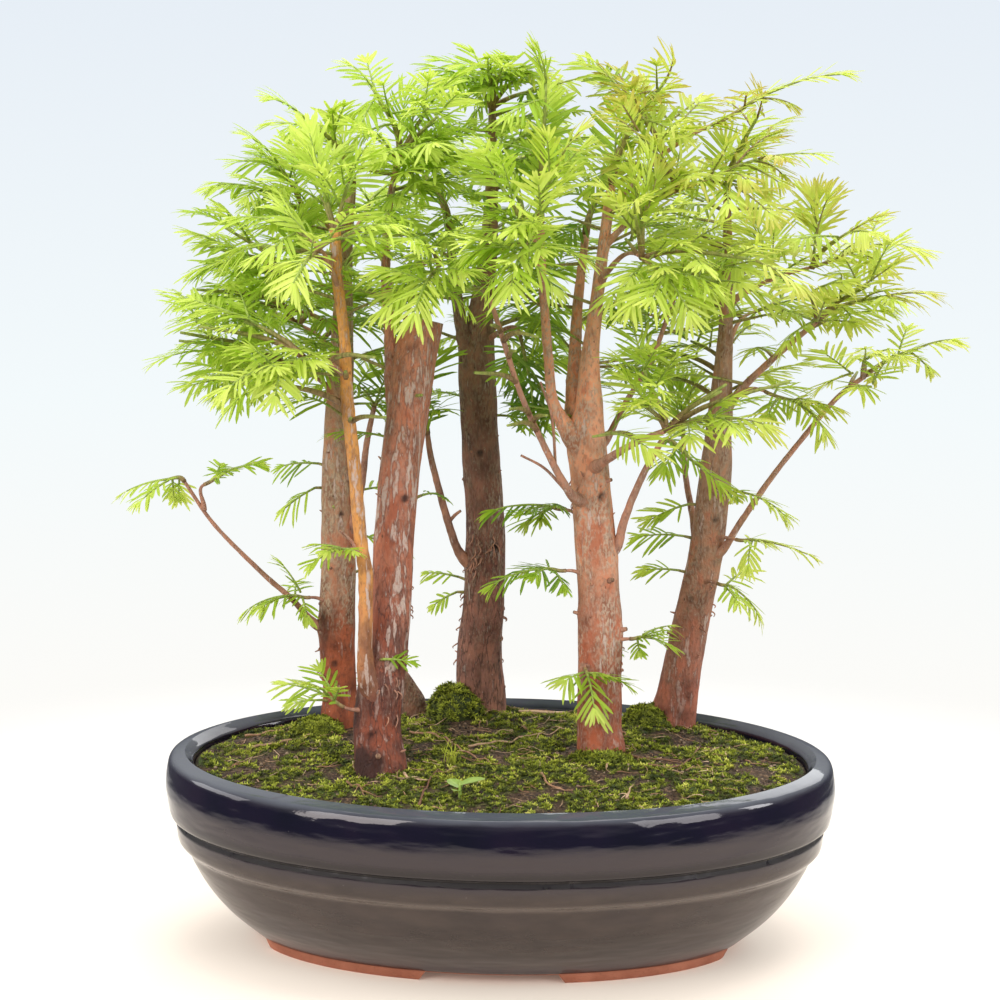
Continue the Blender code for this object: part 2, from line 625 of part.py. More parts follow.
def has_room(choice):
    """Whether a frond stays within the rounded crown and leaves the bare wood in view."""
    root, heading, _, length = choice[:4]
    tip = root + heading * length
    if tip.z < CROWN_FOOT:
        return True
    if sum(((tip[k] - CROWN_MIDDLE[k]) / CROWN_RADII[k]) ** 2 for k in range(3)) > 1:
        return False
    for share in ROOM_SHARES:
        place = root.lerp(tip, share)
        for (x, z), (wide, tall), back in BARE_WOOD:
            if place.y < back and abs(place.x - x) < wide and abs(place.z - z) < tall:
                return False
    return True


def frond_choices(spray, rows, rng):
    """For each frond of a spray, tries of its root, heading, face, length, droop, pairs and needle."""
    tip, count, length, needle = Vector(spray[4]), spray[5], spray[6], spray[7]
    places = [(len(rows) - 1.0, None, (tip - rows[-1].to_3d()).length * 0.92)]
    for k in range(count):
        places.append(((len(rows) - 1) * (0.12 + 0.84 * (k + 0.5) / count), k, length))
    for place, k, size in places:
        low = min(int(place), len(rows) - 2)
        root = rows[low].lerp(rows[low + 1], place - low).to_3d()
        at_tip = k is None
        heading = (tip - root if at_tip else (rows[low + 1] - rows[low]).to_3d()).normalized()
        above = Vector((1, 0.3, 0)) if at_tip and heading.z > STEEP else UP
        if not at_tip:
            heading = side_heading(heading, k)
        tries = []
        for attempt in range(FROND_TRIES):
            loose = (6 if at_tip else 24) + 2.2 * attempt
            shrink = 1 - 0.02 * attempt
            aimed = turned(heading, rng.uniform(-loose, loose), 9 + rng.uniform(-loose, loose) * 0.8)
            face = above + Vector((rng.uniform(-0.35, 0.35), rng.uniform(-0.45, 0.25), 0))
            span = max(size, 12) * shrink * rng.uniform(0.86, 1.0)
            pairs = max(FEWEST_PAIRS, round((span - FROND_BASE) / NEEDLE_PITCH))
            tries.append((root, aimed, face, span, math.radians(26 + rng.uniform(-8, 14)), pairs, needle * shrink))
        yield tries if at_tip else [choice for choice in tries if has_room(choice)]


def into_the_open(tries, middles):
    """Tries with those first that lie furthest from the middles of the fronds that have grown."""

    def crowding(choice):
        place = choice[0] + choice[1] * (0.7 * choice[3])
        return -min([(place - middle).length for middle in middles], default=0.0)

    return sorted(tries, key=crowding)


def tree_of(shape):
    """A search tree over the triangles of points and faces."""
    points, faces = shape
    return BVHTree.FromPolygons([Vector(p) for p in points], faces)


def first_clear(tries, make, taken):
    """The first try whose shape crosses nothing that is taken, with the shape's search tree."""
    for choice in tries:
        found = tree_of(make(choice))
        if not any(found.overlap(other) for other in taken):
            return choice, found
    return None, None


def plan_foliage(plans, wood):
    """Twig and fronds of every spray, each bent clear of the wood and of the sprays before it."""
    rng = random.Random(SEED)
    twigs, twig_trees = [], []
    for spray, plan in zip(SPRAYS, plans):
        wobbles = [Vector([rng.uniform(-1, 1) for _ in range(3)]) * (1.3 * k) for k in range(FROND_TRIES)]

        def wide_twig(wobble):
            rows, heading = twig_route(spray, plan, wobble)
            return tube(rows[:1] + [row + Vector((0, 0, 0, 0.5)) for row in rows[1:]], TWIG_SIDES, leave=heading)

        wobble, found = first_clear(wobbles, wide_twig, wood + twig_trees)
        twigs.append(twig_route(spray, plan, wobble))
        twig_trees.append(found)
    grown, middles, fronds = [], [], [[] for _ in SPRAYS]
    choices = [list(frond_choices(spray, twigs[index][0], rng)) for index, spray in enumerate(SPRAYS)]
    for turn in range(max(len(found) for found in choices)):
        for index, found in enumerate(choices):
            if turn >= len(found):
                continue
            taken = wood + twig_trees[:index] + twig_trees[index + 1 :] + grown
            tries = into_the_open(found[turn], middles) if turn else found[turn]
            frond, shape = first_clear(tries, lambda choice: frond_shape(choice, CLEARANCE), taken)
            if frond:
                fronds[index].append(frond)
                middles.append(frond[0] + frond[1] * (0.7 * frond[3]))
                grown.append(shape)
    return twigs, fronds


def make_sprays(plans, wood):
    """Every leafy spray as one solid of its twig and fronds."""
    green = material("needle_green", (0.18, 0.42, 0.06), 0.5)
    twigs, fronds = plan_foliage(plans, wood)
    for index, ((rows, heading), chosen) in enumerate(zip(twigs, fronds)):
        name = f"spray_{index + 1:02d}"
        twig = add_object(name, tube(rows, TWIG_SIDES, leave=heading))
        blades = [add_object("frond", frond_shape(frond)) for frond in chosen]
        combine(twig, blades, "UNION")
        twig.data.materials.clear()
        twig.data.materials.append(green)


def make_moss(name, tree, middle, radii, routes):
    """A moss cushion that rests on the soil and hugs a trunk."""
    rings = []
    for k in range(1, MOSS_RINGS):
        rise = math.pi * k / MOSS_RINGS
        ring = []
        for i in range(MOSS_SIDES):
            turn = 2 * math.pi * i / MOSS_SIDES
            swell = 1 + 0.08 * math.sin(3 * turn + k)
            ring.append(
                Vector((
                    middle[0] + radii[0] * swell * math.sin(rise) * math.cos(turn),
                    middle[1] + radii[1] * swell * math.sin(rise) * math.sin(turn),
                    middle[2] - radii[2] * math.cos(rise),
                ))
            )
        rings.append(ring)
    cushion = add_object(name, skin_over(rings))
    trunk = add_object("trunk", tube(routes[tree, "trunk"], TRUNK_SIDES, BARK_RIPPLE, TOUCH_GAP))
    combine(cushion, [trunk, add_object("ground", soil_shape(TOUCH_GAP))], "DIFFERENCE")
    cushion.data.materials.clear()
    cushion.data.materials.append(material(name + "_green", (0.25, 0.4, 0.03), 0.9))
    return cushion


def resting_on(soil, x, y, radius):
    """A row of a tube that rests on the soil object at a place."""
    above = Vector((x * MM, y * MM, 1))
    hit = soil.ray_cast(above, -UP)[1]
    return Vector((x, y, hit.z / MM + radius + 2 * TOUCH_GAP, radius))


def make_fallen_twig(soil):
    """A dead twig that lies on the soil."""
    rows = [resting_on(soil, *place) for place in FALLEN_TWIG]
    return add_object("fallen_twig", tube(rows, BRANCH_SIDES), material("dead_wood", (0.3, 0.18, 0.1), 0.8))


def oval_leaf(root, facing, length, half_width):
    """An oval leaf blade with a slight rise, as points and faces."""
    turn = math.radians(facing)
    ahead = Vector((math.cos(turn), math.sin(turn), 0.35)).normalized()
    side = ahead.cross(UP).normalized()
    above = side.cross(ahead)
    rings = []
    for share, width in ((0, 0.15), (0.3, 0.85), (0.6, 1.0), (0.85, 0.6), (1.0, 0.12)):
        wide = side * (width * half_width)
        thick = above * (LEAF_THICKNESS / 2)
        here = root + ahead * (share * length)
        rings.append([here - wide - thick, here + wide - thick, here + wide + thick, here - wide + thick])
    return skin_over(rings)


def make_seedling(soil):
    """A small seedling: a stalk in its own hole in the soil, and oval leaves."""
    x, y = SEEDLING
    radius, height = SEEDLING_STALK
    ground = resting_on(soil, x, y, 0).z
    foot, top = Vector((x, y, ground - height)), Vector((x, y, ground + height))
    stalk = add_object("seedling", tube(rows_of([foot, top], radius, radius), BRANCH_SIDES))
    leaves = [
        add_object("leaf", oval_leaf(top - UP * (0.7 + 1.3 * k), facing, length, half_width))
        for k, (facing, length, half_width) in enumerate(SEEDLING_LEAVES)
    ]
    combine(stalk, leaves, "UNION")
    stalk.data.materials.clear()
    stalk.data.materials.append(material("seedling_green", (0.25, 0.5, 0.08), 0.5))
    hole = tube(rows_of([foot - UP * TOUCH_GAP, top], radius, radius), BRANCH_SIDES, grow=TOUCH_GAP)
    return stalk, add_object("seedling_hole", hole)


def deeper(route):
    """A route whose first row is drawn back by the gap that a trunk stands clear of the soil."""
    back = (route[0] - route[1]).to_3d().normalized() * TOUCH_GAP
    return [route[0] + Vector((*back, 0))] + route[1:]


def main():
    """Build every part, then move the whole forest over the origin."""
    clear_scene()
    make_pot()
    soil = add_object("soil", soil_shape(), material("soil_brown", (0.06, 0.04, 0.02), 0.95))
    routes = {}
    for tree, parts in WOOD.items():
        for part, points in parts.items():
            routes[tree, part] = smooth_route(points, TRUNK_STEP if part == "trunk" else LEADER_STEP)
    stump_route = smooth_route(STUMP, TRUNK_STEP)
    plans = [spray_plan(spray, routes) for spray in SPRAYS]
    bark = material("bark", (0.3, 0.16, 0.1), 0.85)
    limbs = {tree: limb_shapes(tree, routes, plans) for tree in WOOD}
    stump = tube(stump_route, TRUNK_SIDES, BARK_RIPPLE)
    trees = [make_tree(tree, shapes) for tree, shapes in limbs.items()]
    trees.append(add_object("stump", stump))
    for tree in trees:
        tree.data.materials.clear()
        tree.data.materials.append(bark)
    make_sprays(plans, [tree_of(shape) for shape in [*sum(limbs.values(), []), stump]])
    make_fallen_twig(soil)
    _, seedling_hole = make_seedling(soil)
    for name, tree, middle, radii in MOSS:
        make_moss(name, tree, middle, radii, routes)
    cutters = [seedling_hole]
    for route in [routes[tree, "trunk"] for tree in WOOD] + [stump_route]:
        cutters.append(add_object("hole", tube(deeper(route), TRUNK_SIDES, BARK_RIPPLE, TOUCH_GAP)))
    for number, side in enumerate((-1, 1)):
        middle = side * DRAIN_OFFSET
        make_screen(f"drain_screen_{number + 1}", middle)
        half = SCREEN_SIDE / 2 + TOUCH_GAP
        top = FLOOR_TOP + SCREEN_THICKNESS + 2 * TOUCH_GAP
        cutters.append(box("recess", (middle - half, -half, 0), (middle + half, half, top)))
    combine(soil, cutters, "DIFFERENCE")
    corners = [v.co for obj in bpy.data.objects for v in obj.data.vertices]
    low = Vector([min(p[i] for p in corners) for i in range(3)])
    high = Vector([max(p[i] for p in corners) for i in range(3)])
    shift = Vector((-(low.x + high.x) / 2, -(low.y + high.y) / 2, -low.z))
    for obj in bpy.data.objects:
        obj.data.transform(Matrix.Translation(shift))


main()
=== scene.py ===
"""The fine look of the dawn redwood forest: bark, leaves, moss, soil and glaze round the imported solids.

Sizes are in millimetres from the middle of the pot until a piece is made, which puts it in metres
where the solids stand.
"""

import math
import random

import bmesh
import bpy
import numpy as np
from mathutils import Matrix, Vector, noise
from mathutils.bvhtree import BVHTree


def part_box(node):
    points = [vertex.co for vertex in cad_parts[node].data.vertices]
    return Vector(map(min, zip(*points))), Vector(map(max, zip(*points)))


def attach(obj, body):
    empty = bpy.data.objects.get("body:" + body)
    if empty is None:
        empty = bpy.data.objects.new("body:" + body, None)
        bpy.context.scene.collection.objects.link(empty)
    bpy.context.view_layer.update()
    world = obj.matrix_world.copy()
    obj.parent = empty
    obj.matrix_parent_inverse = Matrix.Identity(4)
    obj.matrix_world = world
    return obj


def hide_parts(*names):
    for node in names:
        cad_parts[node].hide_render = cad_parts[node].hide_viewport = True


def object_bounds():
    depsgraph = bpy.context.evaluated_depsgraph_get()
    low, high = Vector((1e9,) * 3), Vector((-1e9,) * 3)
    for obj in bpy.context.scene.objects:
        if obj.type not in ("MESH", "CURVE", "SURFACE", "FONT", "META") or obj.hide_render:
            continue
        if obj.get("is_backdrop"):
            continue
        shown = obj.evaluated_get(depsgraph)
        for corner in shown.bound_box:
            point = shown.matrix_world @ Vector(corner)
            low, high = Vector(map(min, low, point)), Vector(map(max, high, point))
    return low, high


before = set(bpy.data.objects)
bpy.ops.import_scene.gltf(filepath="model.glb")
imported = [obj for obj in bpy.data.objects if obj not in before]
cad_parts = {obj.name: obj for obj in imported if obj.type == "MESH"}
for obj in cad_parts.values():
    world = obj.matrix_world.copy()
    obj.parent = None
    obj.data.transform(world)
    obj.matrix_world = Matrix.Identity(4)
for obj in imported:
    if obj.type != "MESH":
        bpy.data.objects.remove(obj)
CAD_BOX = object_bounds()

MM = 0.001
TOUCH_GAP = 0.3
UP = Vector((0, 0, 1))
TURN = 2 * math.pi

# The pot, as in the solids: an oval outline, with walls as insets from it and their heights
POT_LENGTH = 300.0
POT_DEPTH = 212.0
POT_SIDES = 224
FOOT_HEIGHT = 5.0
FLOOR_TOP = 11.0
FLOOR_SHARE = 0.4
OUTER_WALL = (
    (6.5, 86.0),
    (2.3, 84.2),
    (0.7, 79.5),
    (0.0, 72.5),
    (0.7, 65.5),
    (2.0, 58.8),
    (4.1, 57.7),
    (5.0, 56.4),
    (4.5, 54.6),
    (4.7, 52.0),
    (5.6, 46.8),
    (8.6, 43.8),
    (10.2, 42.0),
    (11.7, 38.0),
    (18.0, 27.0),
    (27.0, 16.0),
    (39.5, FOOT_HEIGHT),
)
FOOT_RING = ((40.3, FOOT_HEIGHT), (41.0, 0.9), (41.9, 0.0), (51.6, 0.0), (52.2, 0.5), (52.8, FOOT_HEIGHT))
INNER_WALL = ((47.0, FLOOR_TOP), (36.0, 18.5), (21.0, 37.0), (13.4, 56.0), (13.0, 80.0), (11.0, 84.4))
FOOT_GAP_FRONT = 58.0
FOOT_GAP_SIDE = 44.0
FOOT_GAP_SLANT = 3.0
FOOT_LIP = 0.6
DRAIN_RADIUS = 11.0
DRAIN_OFFSET = 52.0
DRAIN_SIDES = 48

# Soil, as in the solids, with a finer surface
SOIL_EDGE = 80.0
SOIL_DOME = 8.0
SOIL_RISES = ((-12, 62, 4.5, 24.0), (78, 56, 3.5, 20.0), (-76, 42, 2.0, 20.0))
SOIL_BOTTOM = 12.6
SOIL_RINGS = 84
SOIL_SIDES = 300

# Woody routes: x, y, z, radius
WOOD = {
    "tree_1": {
        "trunk": (
            (-76, 41, 60, 9.0), (-76, 40, 90, 8.8), (-76, 40, 104, 7.8), (-77, 39, 130, 8.2),
            (-76, 38, 165, 7.7), (-76, 38, 202, 7.3), (-75, 37, 239, 6.2), (-74, 37, 271, 4.8),
            (-73, 36, 303, 3.4), (-70, 35, 335, 2.2),
        ),
        "low_branch": (
            (-77, 39, 131, 2.8), (-87, 35, 136, 2.6), (-97, 32, 148, 2.0), (-110, 30, 160, 1.7),
            (-131, 25, 183, 1.4), (-144, 20, 204, 1.2),
        ),
        "inner_branch": (
            (-74, 36, 170, 2.6), (-66, 32, 196, 2.0), (-62, 24, 222, 1.6), (-58, 16, 240, 1.3),
        ),
    },
    "tree_2": {
        "trunk": (
            (-51, -35, 58, 12.0), (-51, -35, 86, 11.6), (-53, -32, 106, 10.4), (-51, -30, 124, 10.0),
            (-49, -27, 143, 9.4), (-47, -25, 161, 8.9), (-46, -22, 184, 8.7), (-44, -20, 212, 8.7),
            (-41, -17, 238, 8.9), (-39, -15, 260, 9.8), (-34, -12, 283, 8.4),
        ),
        "young_stem": (
            (-53, -35, 116, 3.9), (-57, -39, 133, 3.9), (-57, -41, 155, 3.7), (-57, -41, 175, 3.6),
            (-59, -41, 189, 3.4), (-62, -41, 224, 3.3), (-65, -41, 251, 3.3), (-66, -42, 278, 2.8),
            (-69, -42, 304, 2.8), (-70, -42, 325, 2.8),
        ),
        "left_leader": (
            (-42, -17, 240, 5.5), (-47, -15, 258, 4.0), (-49, -12, 278, 3.0), (-51, -10, 303, 2.4),
            (-50, -8, 330, 1.9), (-46, -6, 352, 1.5),
        ),
    },
    "tree_3": {
        "trunk": (
            (-12, 63, 62, 12.0), (-12, 62, 92, 11.4), (-13, 61, 118, 10.4), (-11, 59, 138, 9.4),
            (-10, 58, 161, 9.0), (-10, 57, 185, 8.7), (-12, 55, 210, 8.5), (-13, 54, 232, 8.5),
            (-14, 53, 256, 8.2), (-12, 52, 282, 5.2), (-9, 50, 312, 3.8), (-8, 48, 345, 2.4),
            (-8, 44, 372, 1.6),
        ),
        "left_leader": (
            (-14, 53, 244, 5.0), (-20, 50, 266, 3.9), (-24, 47, 290, 2.9), (-27, 44, 318, 2.0),
        ),
        "low_branch": (
            (-11, 58, 156, 2.8), (-21, 53, 165, 2.3), (-27, 49, 182, 2.1), (-34, 44, 210, 1.7),
            (-36, 41, 224, 1.4),
        ),
    },
    "tree_4": {
        "trunk": (
            (45, -6, 60, 11.2), (45, -6, 88, 10.9), (44, -5, 102, 9.9), (44, -5, 125, 9.7),
            (44, -4, 149, 9.6), (43, -3, 166, 9.2), (41, -2, 190, 8.9), (39, -1, 212, 8.6),
            (37, 0, 230, 8.4), (38, 0, 244, 6.2), (38, 1, 264, 4.2), (40, 2, 286, 3.0),
            (43, 3, 314, 2.5), (46, 4, 341, 1.9),
        ),
        "left_leader": (
            (37, -1, 222, 5.2), (28, -3, 235, 3.6), (22, -4, 247, 2.7), (20, -5, 264, 2.5),
            (17, -7, 300, 2.1), (16, -8, 326, 1.7),
        ),
        "back_leader": (
            (35, 4, 226, 5.0), (31, 7, 246, 4.2), (31, 11, 264, 3.4), (32, 15, 289, 2.6),
            (35, 18, 318, 1.8),
        ),
        "long_left": (
            (37, -4, 202, 2.6), (30, -18, 209, 2.2), (19, -27, 231, 1.6), (9, -32, 254, 1.4),
            (2, -36, 276, 1.3), (-5, -41, 299, 1.2),
        ),
        "front_right": (
            (39, -2, 216, 2.8), (44, -17, 222, 2.3), (50, -28, 228, 2.0), (61, -37, 236, 1.6),
            (73, -44, 242, 1.3),
        ),
        "low_right": (
            (42, -3, 171, 2.8), (51, -4, 183, 2.4), (54, -7, 195, 2.1), (61, -11, 214, 1.8),
            (69, -14, 230, 1.5),
        ),
        "thin_right": (
            (38, 0, 222, 2.6), (46, 8, 229, 1.8), (53, 10, 243, 1.5), (65, 12, 264, 1.3),
            (75, 13, 293, 1.1),
        ),
    },
    "tree_5": {
        "trunk": (
            (77, 58, 62, 10.8), (77, 58, 88, 10.6), (79, 56, 100, 9.6), (82, 54, 120, 8.7),
            (86, 53, 141, 8.2), (90, 51, 163, 7.7), (93, 49, 185, 7.5), (95, 47, 207, 7.2),
            (96, 45, 226, 5.9), (97, 44, 250, 4.5), (98, 42, 277, 3.2), (98, 40, 303, 2.4),
            (97, 36, 332, 1.7),
        ),
        "long_right": (
            (90, 50, 164, 2.6), (99, 44, 172, 2.0), (105, 41, 183, 1.7), (119, 36, 206, 1.5),
            (132, 30, 225, 1.4), (147, 25, 245, 1.3), (160, 20, 257, 1.2),
        ),
        "upper_right": ((95, 46, 228, 2.8), (103, 42, 243, 2.2), (117, 36, 259, 1.8), (138, 25, 280, 1.3)),
        "back_left": ((89, 53, 168, 2.6), (84, 63, 188, 1.8), (81, 67, 204, 1.5), (80, 70, 220, 1.3)),
    },
}
STUMP = ((-42, 66, 66, 7.0), (-43, 66, 88, 6.2), (-46, 65, 98, 4.4), (-49, 64, 106, 2.6))
TRUNK_SIDES = 8
LEADER_SIDES = 5
BRANCH_SIDES = 4
TWIG_SIDES = 4
BRANCH_STEPS = 3
TRUNK_STEP = 30.0
LEADER_STEP = 32.0
BARK_RIPPLE = 0.05

STUB_RISE = 0.35
# Cut and broken stubs: tree, height on the trunk, facing in degrees, length, radius
STUBS = (
    ("tree_1", 160, 250, 9.0, 1.4),
    ("tree_2", 92, 272, 13.0, 2.6),
    ("tree_3", 197, 190, 10.0, 1.6),
    ("tree_4", 142, 335, 13.0, 2.2),
    ("tree_4", 165, 300, 12.5, 2.4),
    ("tree_4", 149, 200, 12.5, 1.8),
    ("tree_4", 209, 320, 11.5, 1.9),
    ("tree_5", 128, 215, 11.0, 1.8),
)

# Leafy sprays: tree, route, height on it or None at its end, start of the twig, tip,
# fronds beside the one at the tip, their length, needle length
SPRAYS = (
    ("tree_1", "low_branch", None, (-144, 20, 204), (-174, 19, 200), 2, 18, 10),
    ("tree_1", "low_branch", 190, (-134, 18, 203), (-109, 12, 215), 2, 16, 9),
    ("tree_1", "trunk", 140, (-89, 30, 149), (-123, 26, 146), 2, 20, 11),
    ("tree_1", "trunk", 240, (-98, 32, 254), (-157, 20, 263), 5, 27, 15),
    ("tree_1", "trunk", 268, (-96, 20, 282), (-146, 6, 288), 5, 25, 15),
    ("tree_1", "trunk", 284, (-92, 2, 298), (-137, -12, 308), 5, 25, 15),
    ("tree_1", "trunk", 308, (-90, 22, 326), (-128, -2, 342), 5, 25, 15),
    ("tree_1", "trunk", None, (-70, 35, 335), (-97, 12, 375), 5, 27, 15),
    ("tree_1", "trunk", 256, (-98, 62, 270), (-132, 92, 276), 4, 27, 15),
    ("tree_1", "trunk", 298, (-68, 66, 318), (-60, 104, 330), 4, 27, 15),
    ("tree_2", "trunk", 112, (-67, -42, 117), (-94, -46, 131), 1, 15, 11),
    ("tree_2", "young_stem", 184, (-64, -47, 188), (-82, -58, 185), 1, 14, 9),
    ("tree_2", "left_leader", None, (-46, -6, 352), (-60, -8, 388), 6, 27, 15),
    ("tree_2", "left_leader", 298, (-26, -40, 310), (-34, -86, 296), 6, 27, 16),
    ("tree_2", "young_stem", 300, (-76, -62, 318), (-82, -102, 308), 6, 25, 15),
    ("tree_2", "young_stem", 262, (-82, -56, 272), (-114, -82, 262), 5, 23, 15),
    ("tree_3", "trunk", None, (-8, 44, 372), (-8, 14, 398), 6, 27, 15),
    ("tree_3", "trunk", 322, (-2, 74, 340), (12, 110, 348), 4, 29, 15),
    ("tree_3", "left_leader", None, (-27, 44, 318), (-50, 62, 350), 5, 27, 15),
    ("tree_3", "low_branch", None, (-36, 41, 224), (-34, 14, 246), 2, 24, 13),
    ("tree_3", "trunk", 262, (6, 34, 270), (14, 6, 238), 3, 24, 15),
    ("tree_4", "trunk", 122, (38, -19, 130), (44, -40, 116), 1, 16, 13),
    ("tree_4", "trunk", 136, (58, -10, 142), (78, -14, 143), 1, 15, 10),
    ("tree_4", "trunk", 164, (28, -9, 172), (-8, -17, 169), 1, 18, 12),
    ("tree_4", "trunk", 186, (26, 4, 197), (-8, -4, 198), 2, 18, 12),
    ("tree_4", "front_right", None, (73, -44, 242), (116, -64, 250), 6, 25, 15),
    ("tree_4", "low_right", None, (69, -14, 230), (98, -28, 214), 3, 22, 14),
    ("tree_4", "thin_right", None, (75, 13, 293), (114, -4, 312), 6, 27, 15),
    ("tree_4", "trunk", 314, (84, -14, 344), (134, -22, 360), 5, 27, 15),
    ("tree_4", "trunk", 328, (90, 2, 368), (145, -2, 393), 4, 23, 15),
    ("tree_4", "trunk", 298, (60, -38, 314), (80, -84, 300), 6, 27, 16),
    ("tree_4", "trunk", None, (46, 4, 341), (74, -10, 394), 6, 27, 15),
    ("tree_4", "left_leader", None, (16, -8, 326), (18, -12, 396), 6, 27, 15),
    ("tree_4", "left_leader", 298, (12, -42, 322), (6, -90, 308), 6, 29, 17),
    ("tree_4", "back_leader", None, (35, 18, 318), (50, 54, 352), 4, 29, 15),
    ("tree_5", "trunk", 196, (98, 34, 200), (132, 18, 197), 1, 20, 12),
    ("tree_5", "trunk", 174, (105, 36, 178), (142, 24, 172), 2, 20, 12),
    ("tree_5", "trunk", 152, (97, 38, 157), (121, 26, 149), 1, 18, 12),
    ("tree_5", "long_right", None, (160, 20, 257), (200, 13, 276), 4, 22, 12),
    ("tree_5", "upper_right", None, (138, 25, 280), (189, 10, 297), 5, 23, 15),
    ("tree_5", "trunk", 284, (136, 40, 302), (187, 30, 317), 5, 25, 15),
    ("tree_5", "trunk", None, (97, 36, 332), (112, 14, 376), 5, 27, 15),
    ("tree_5", "trunk", 262, (112, 68, 278), (146, 96, 284), 4, 27, 15),
    ("tree_5", "trunk", 238, (116, 22, 248), (144, -8, 238), 5, 21, 15),
)
SEED = 11
# A twig that rises more than this is upright, with fronds all round it in place of left and right
STEEP = 0.72
# How much of the way to its tip a spray's twig takes up: in the crown, in low shoots, in upright ones
TWIG_SHARE = 0.54
LOW_TWIG_SHARE = 0.24
STEEP_TWIG_SHARE = 0.8
TWIG_STEPS = 3
TWIG_RADIUS = 0.9
SIDE_TURN = 54
ROUND_TURN = 137.5
# The solids' fronds
FROND_BASE = 4.0
NEEDLE_PITCH = 10.8
FEWEST_PAIRS = 2
RIB_WIDTH = 1.4
RIB_THICKNESS = 1.1
NEEDLE_DROOP = 0.16
FROND_TRIES = 24
# The rounded crown that fronds keep within, and where it begins
CROWN_MIDDLE = (15, 2, 285)
CROWN_RADII = (186, 106, 121)
CROWN_FOOT = 200.0
# Bare wood that stays in view: middle and half sizes across and up, and how far back it stands
BARE_WOOD = (
    ((-38, 255), (19, 33), -12),
    ((-64, 262), (12, 62), -44),
    ((30, 256), (22, 50), -6),
    ((8, 258), (16, 30), -34),
    ((-14, 246), (15, 38), 50),
    ((93, 208), (14, 22), 46),
)
# Places along a frond that are tried against the bare wood, and how much wider than itself its room is
ROOM_SHARES = (0.3, 0.65, 1.0)
CLEARANCE = 1.12

# Cushions: name, middle and half sizes
MOSS = (
    ("moss_tree_1", (-84, 30, 86), (12, 11, 7)),
    ("moss_tree_3", (-23, 52, 90), (13, 12, 15)),
    ("moss_tree_4", (46, -15, 86), (16, 9, 6)),
    ("moss_tree_5", (66, 52, 87), (11, 10, 9)),
)
# x, y and radius along the twig
FALLEN_TWIG = ((2, 78, 0.9), (16, 80, 1.2), (32, 79, 1.1), (44, 82, 0.8))
DEAD_STRAW = ((6, 60), (13, 63), (20, 66), (27, 70))
GRASS = (-21, -27)
GRASS_BLADES = 16
CARPET_TUFTS = 12500
CUSHION_TUFTS = 620
CUSHION_STEPS = 14
CUSHION_SIDES = 36
STRAWS = 340
STONES = 2600
SEEDLING = (-14, -70)
# Facing in degrees, length, half width
SEEDLING_LEAVES = ((8, 11.0, 4.0), (128, 8.5, 3.4), (250, 6.0, 2.6))

# Finer wood
FINE_TRUNK_SIDES = 72
FINE_TRUNK_STEP = 1.6
FINE_LEADER_SIDES = 28
FINE_BRANCH_SIDES = 12
FINE_STEP = 2.0
FINE_TWIG_SIDES = 8
SHOOT_SIDES = 6
RIB_SIDES = 5
STUMP_SIDES = 40
FINE_PLAN_STEPS = 18
# How much slimmer fine wood is than its solid: limbs, spray branches, the low branch at the far left
SLIM = 0.86
SLIM_TWIG = 0.72
SLIM_LOW = 0.66
# Needles: width with what each millimetre of length adds, pitch along a rib, shares of the length with
# the width there, and directions in degrees of those at a frond's tip
LEAF_WIDTH = 1.0
LEAF_WIDENING = 0.036
LEAF_PITCH = 2.75
LOW_LEAF_PITCH = 3.5
LEAF_STATIONS = np.array((0.0, 0.14, 0.5, 0.86, 1.0))
LEAF_WIDTHS = np.array((0.3, 0.84, 1.0, 0.82, 0.16))
TIP_LEAVES = (-26, -12, 3, 15, 29)
# Shoots over and between the sprays: how many, tries for the place of each, frond and needle length
SHOOTS = 118
SHOOT_TRIES = 16
SHOOT_LENGTH = 27
SHOOT_NEEDLE = 15
# Shoots straight from the leaders: lowest height, step up, and the top that a leader needs
LEADER_SHOOT_FROM = 230.0
LEADER_SHOOT_STEP = 6.5
LEADER_TOP = 270
# The photograph's outline for the extra shoots: its middle, and half sizes to the left, right, across
# and up
DOME = (5, 2, 288)
DOME_SIZES = (150, 168, 102, 118)
DOME_FOOT = 226.0
# More bare wood, which only the extra fronds leave in view
MORE_BARE_WOOD = (
    ((-8, 294), (14, 28), -30),
    ((112, 262), (40, 16), 30),
    ((34, 304), (20, 30), -6),
)
# Sprays with a tip above this height end in a longer frond
TALL_TIP = 335
TIP_GROWTH = 1.16
# Right of here the crown is airier: the share of further fronds that is left out
AIRY_FROM = 88
AIRY_SHARE = 0.5
# Knots on the trunks: tree, height, facing in degrees, size
KNOTS = (
    ("tree_2", 104, 262, 2.6),
    ("tree_2", 207, 292, 1.8),
    ("tree_4", 205, 300, 2.6),
    ("tree_4", 150, 232, 1.8),
    ("tree_4", 118, 250, 1.4),
    ("tree_3", 170, 300, 2.0),
    ("tree_3", 214, 270, 1.6),
    ("tree_1", 118, 265, 1.7),
    ("tree_1", 188, 285, 1.5),
    ("tree_5", 148, 250, 1.8),
    ("tree_5", 186, 285, 1.5),
)
# Small bare twigs: tree, start, end, radius
LITTLE_TWIGS = (
    ("tree_2", (-59, -42, 184), (-68, -46, 196), 1.0),
    ("tree_3", (-26.5, 49.5, 181), (-21, 47, 187), 1.1),
    ("tree_4", (29, -18, 209), (9, -24, 226), 0.9),
    ("tree_4", (24, -22, 221), (17, -22, 258), 0.8),
)
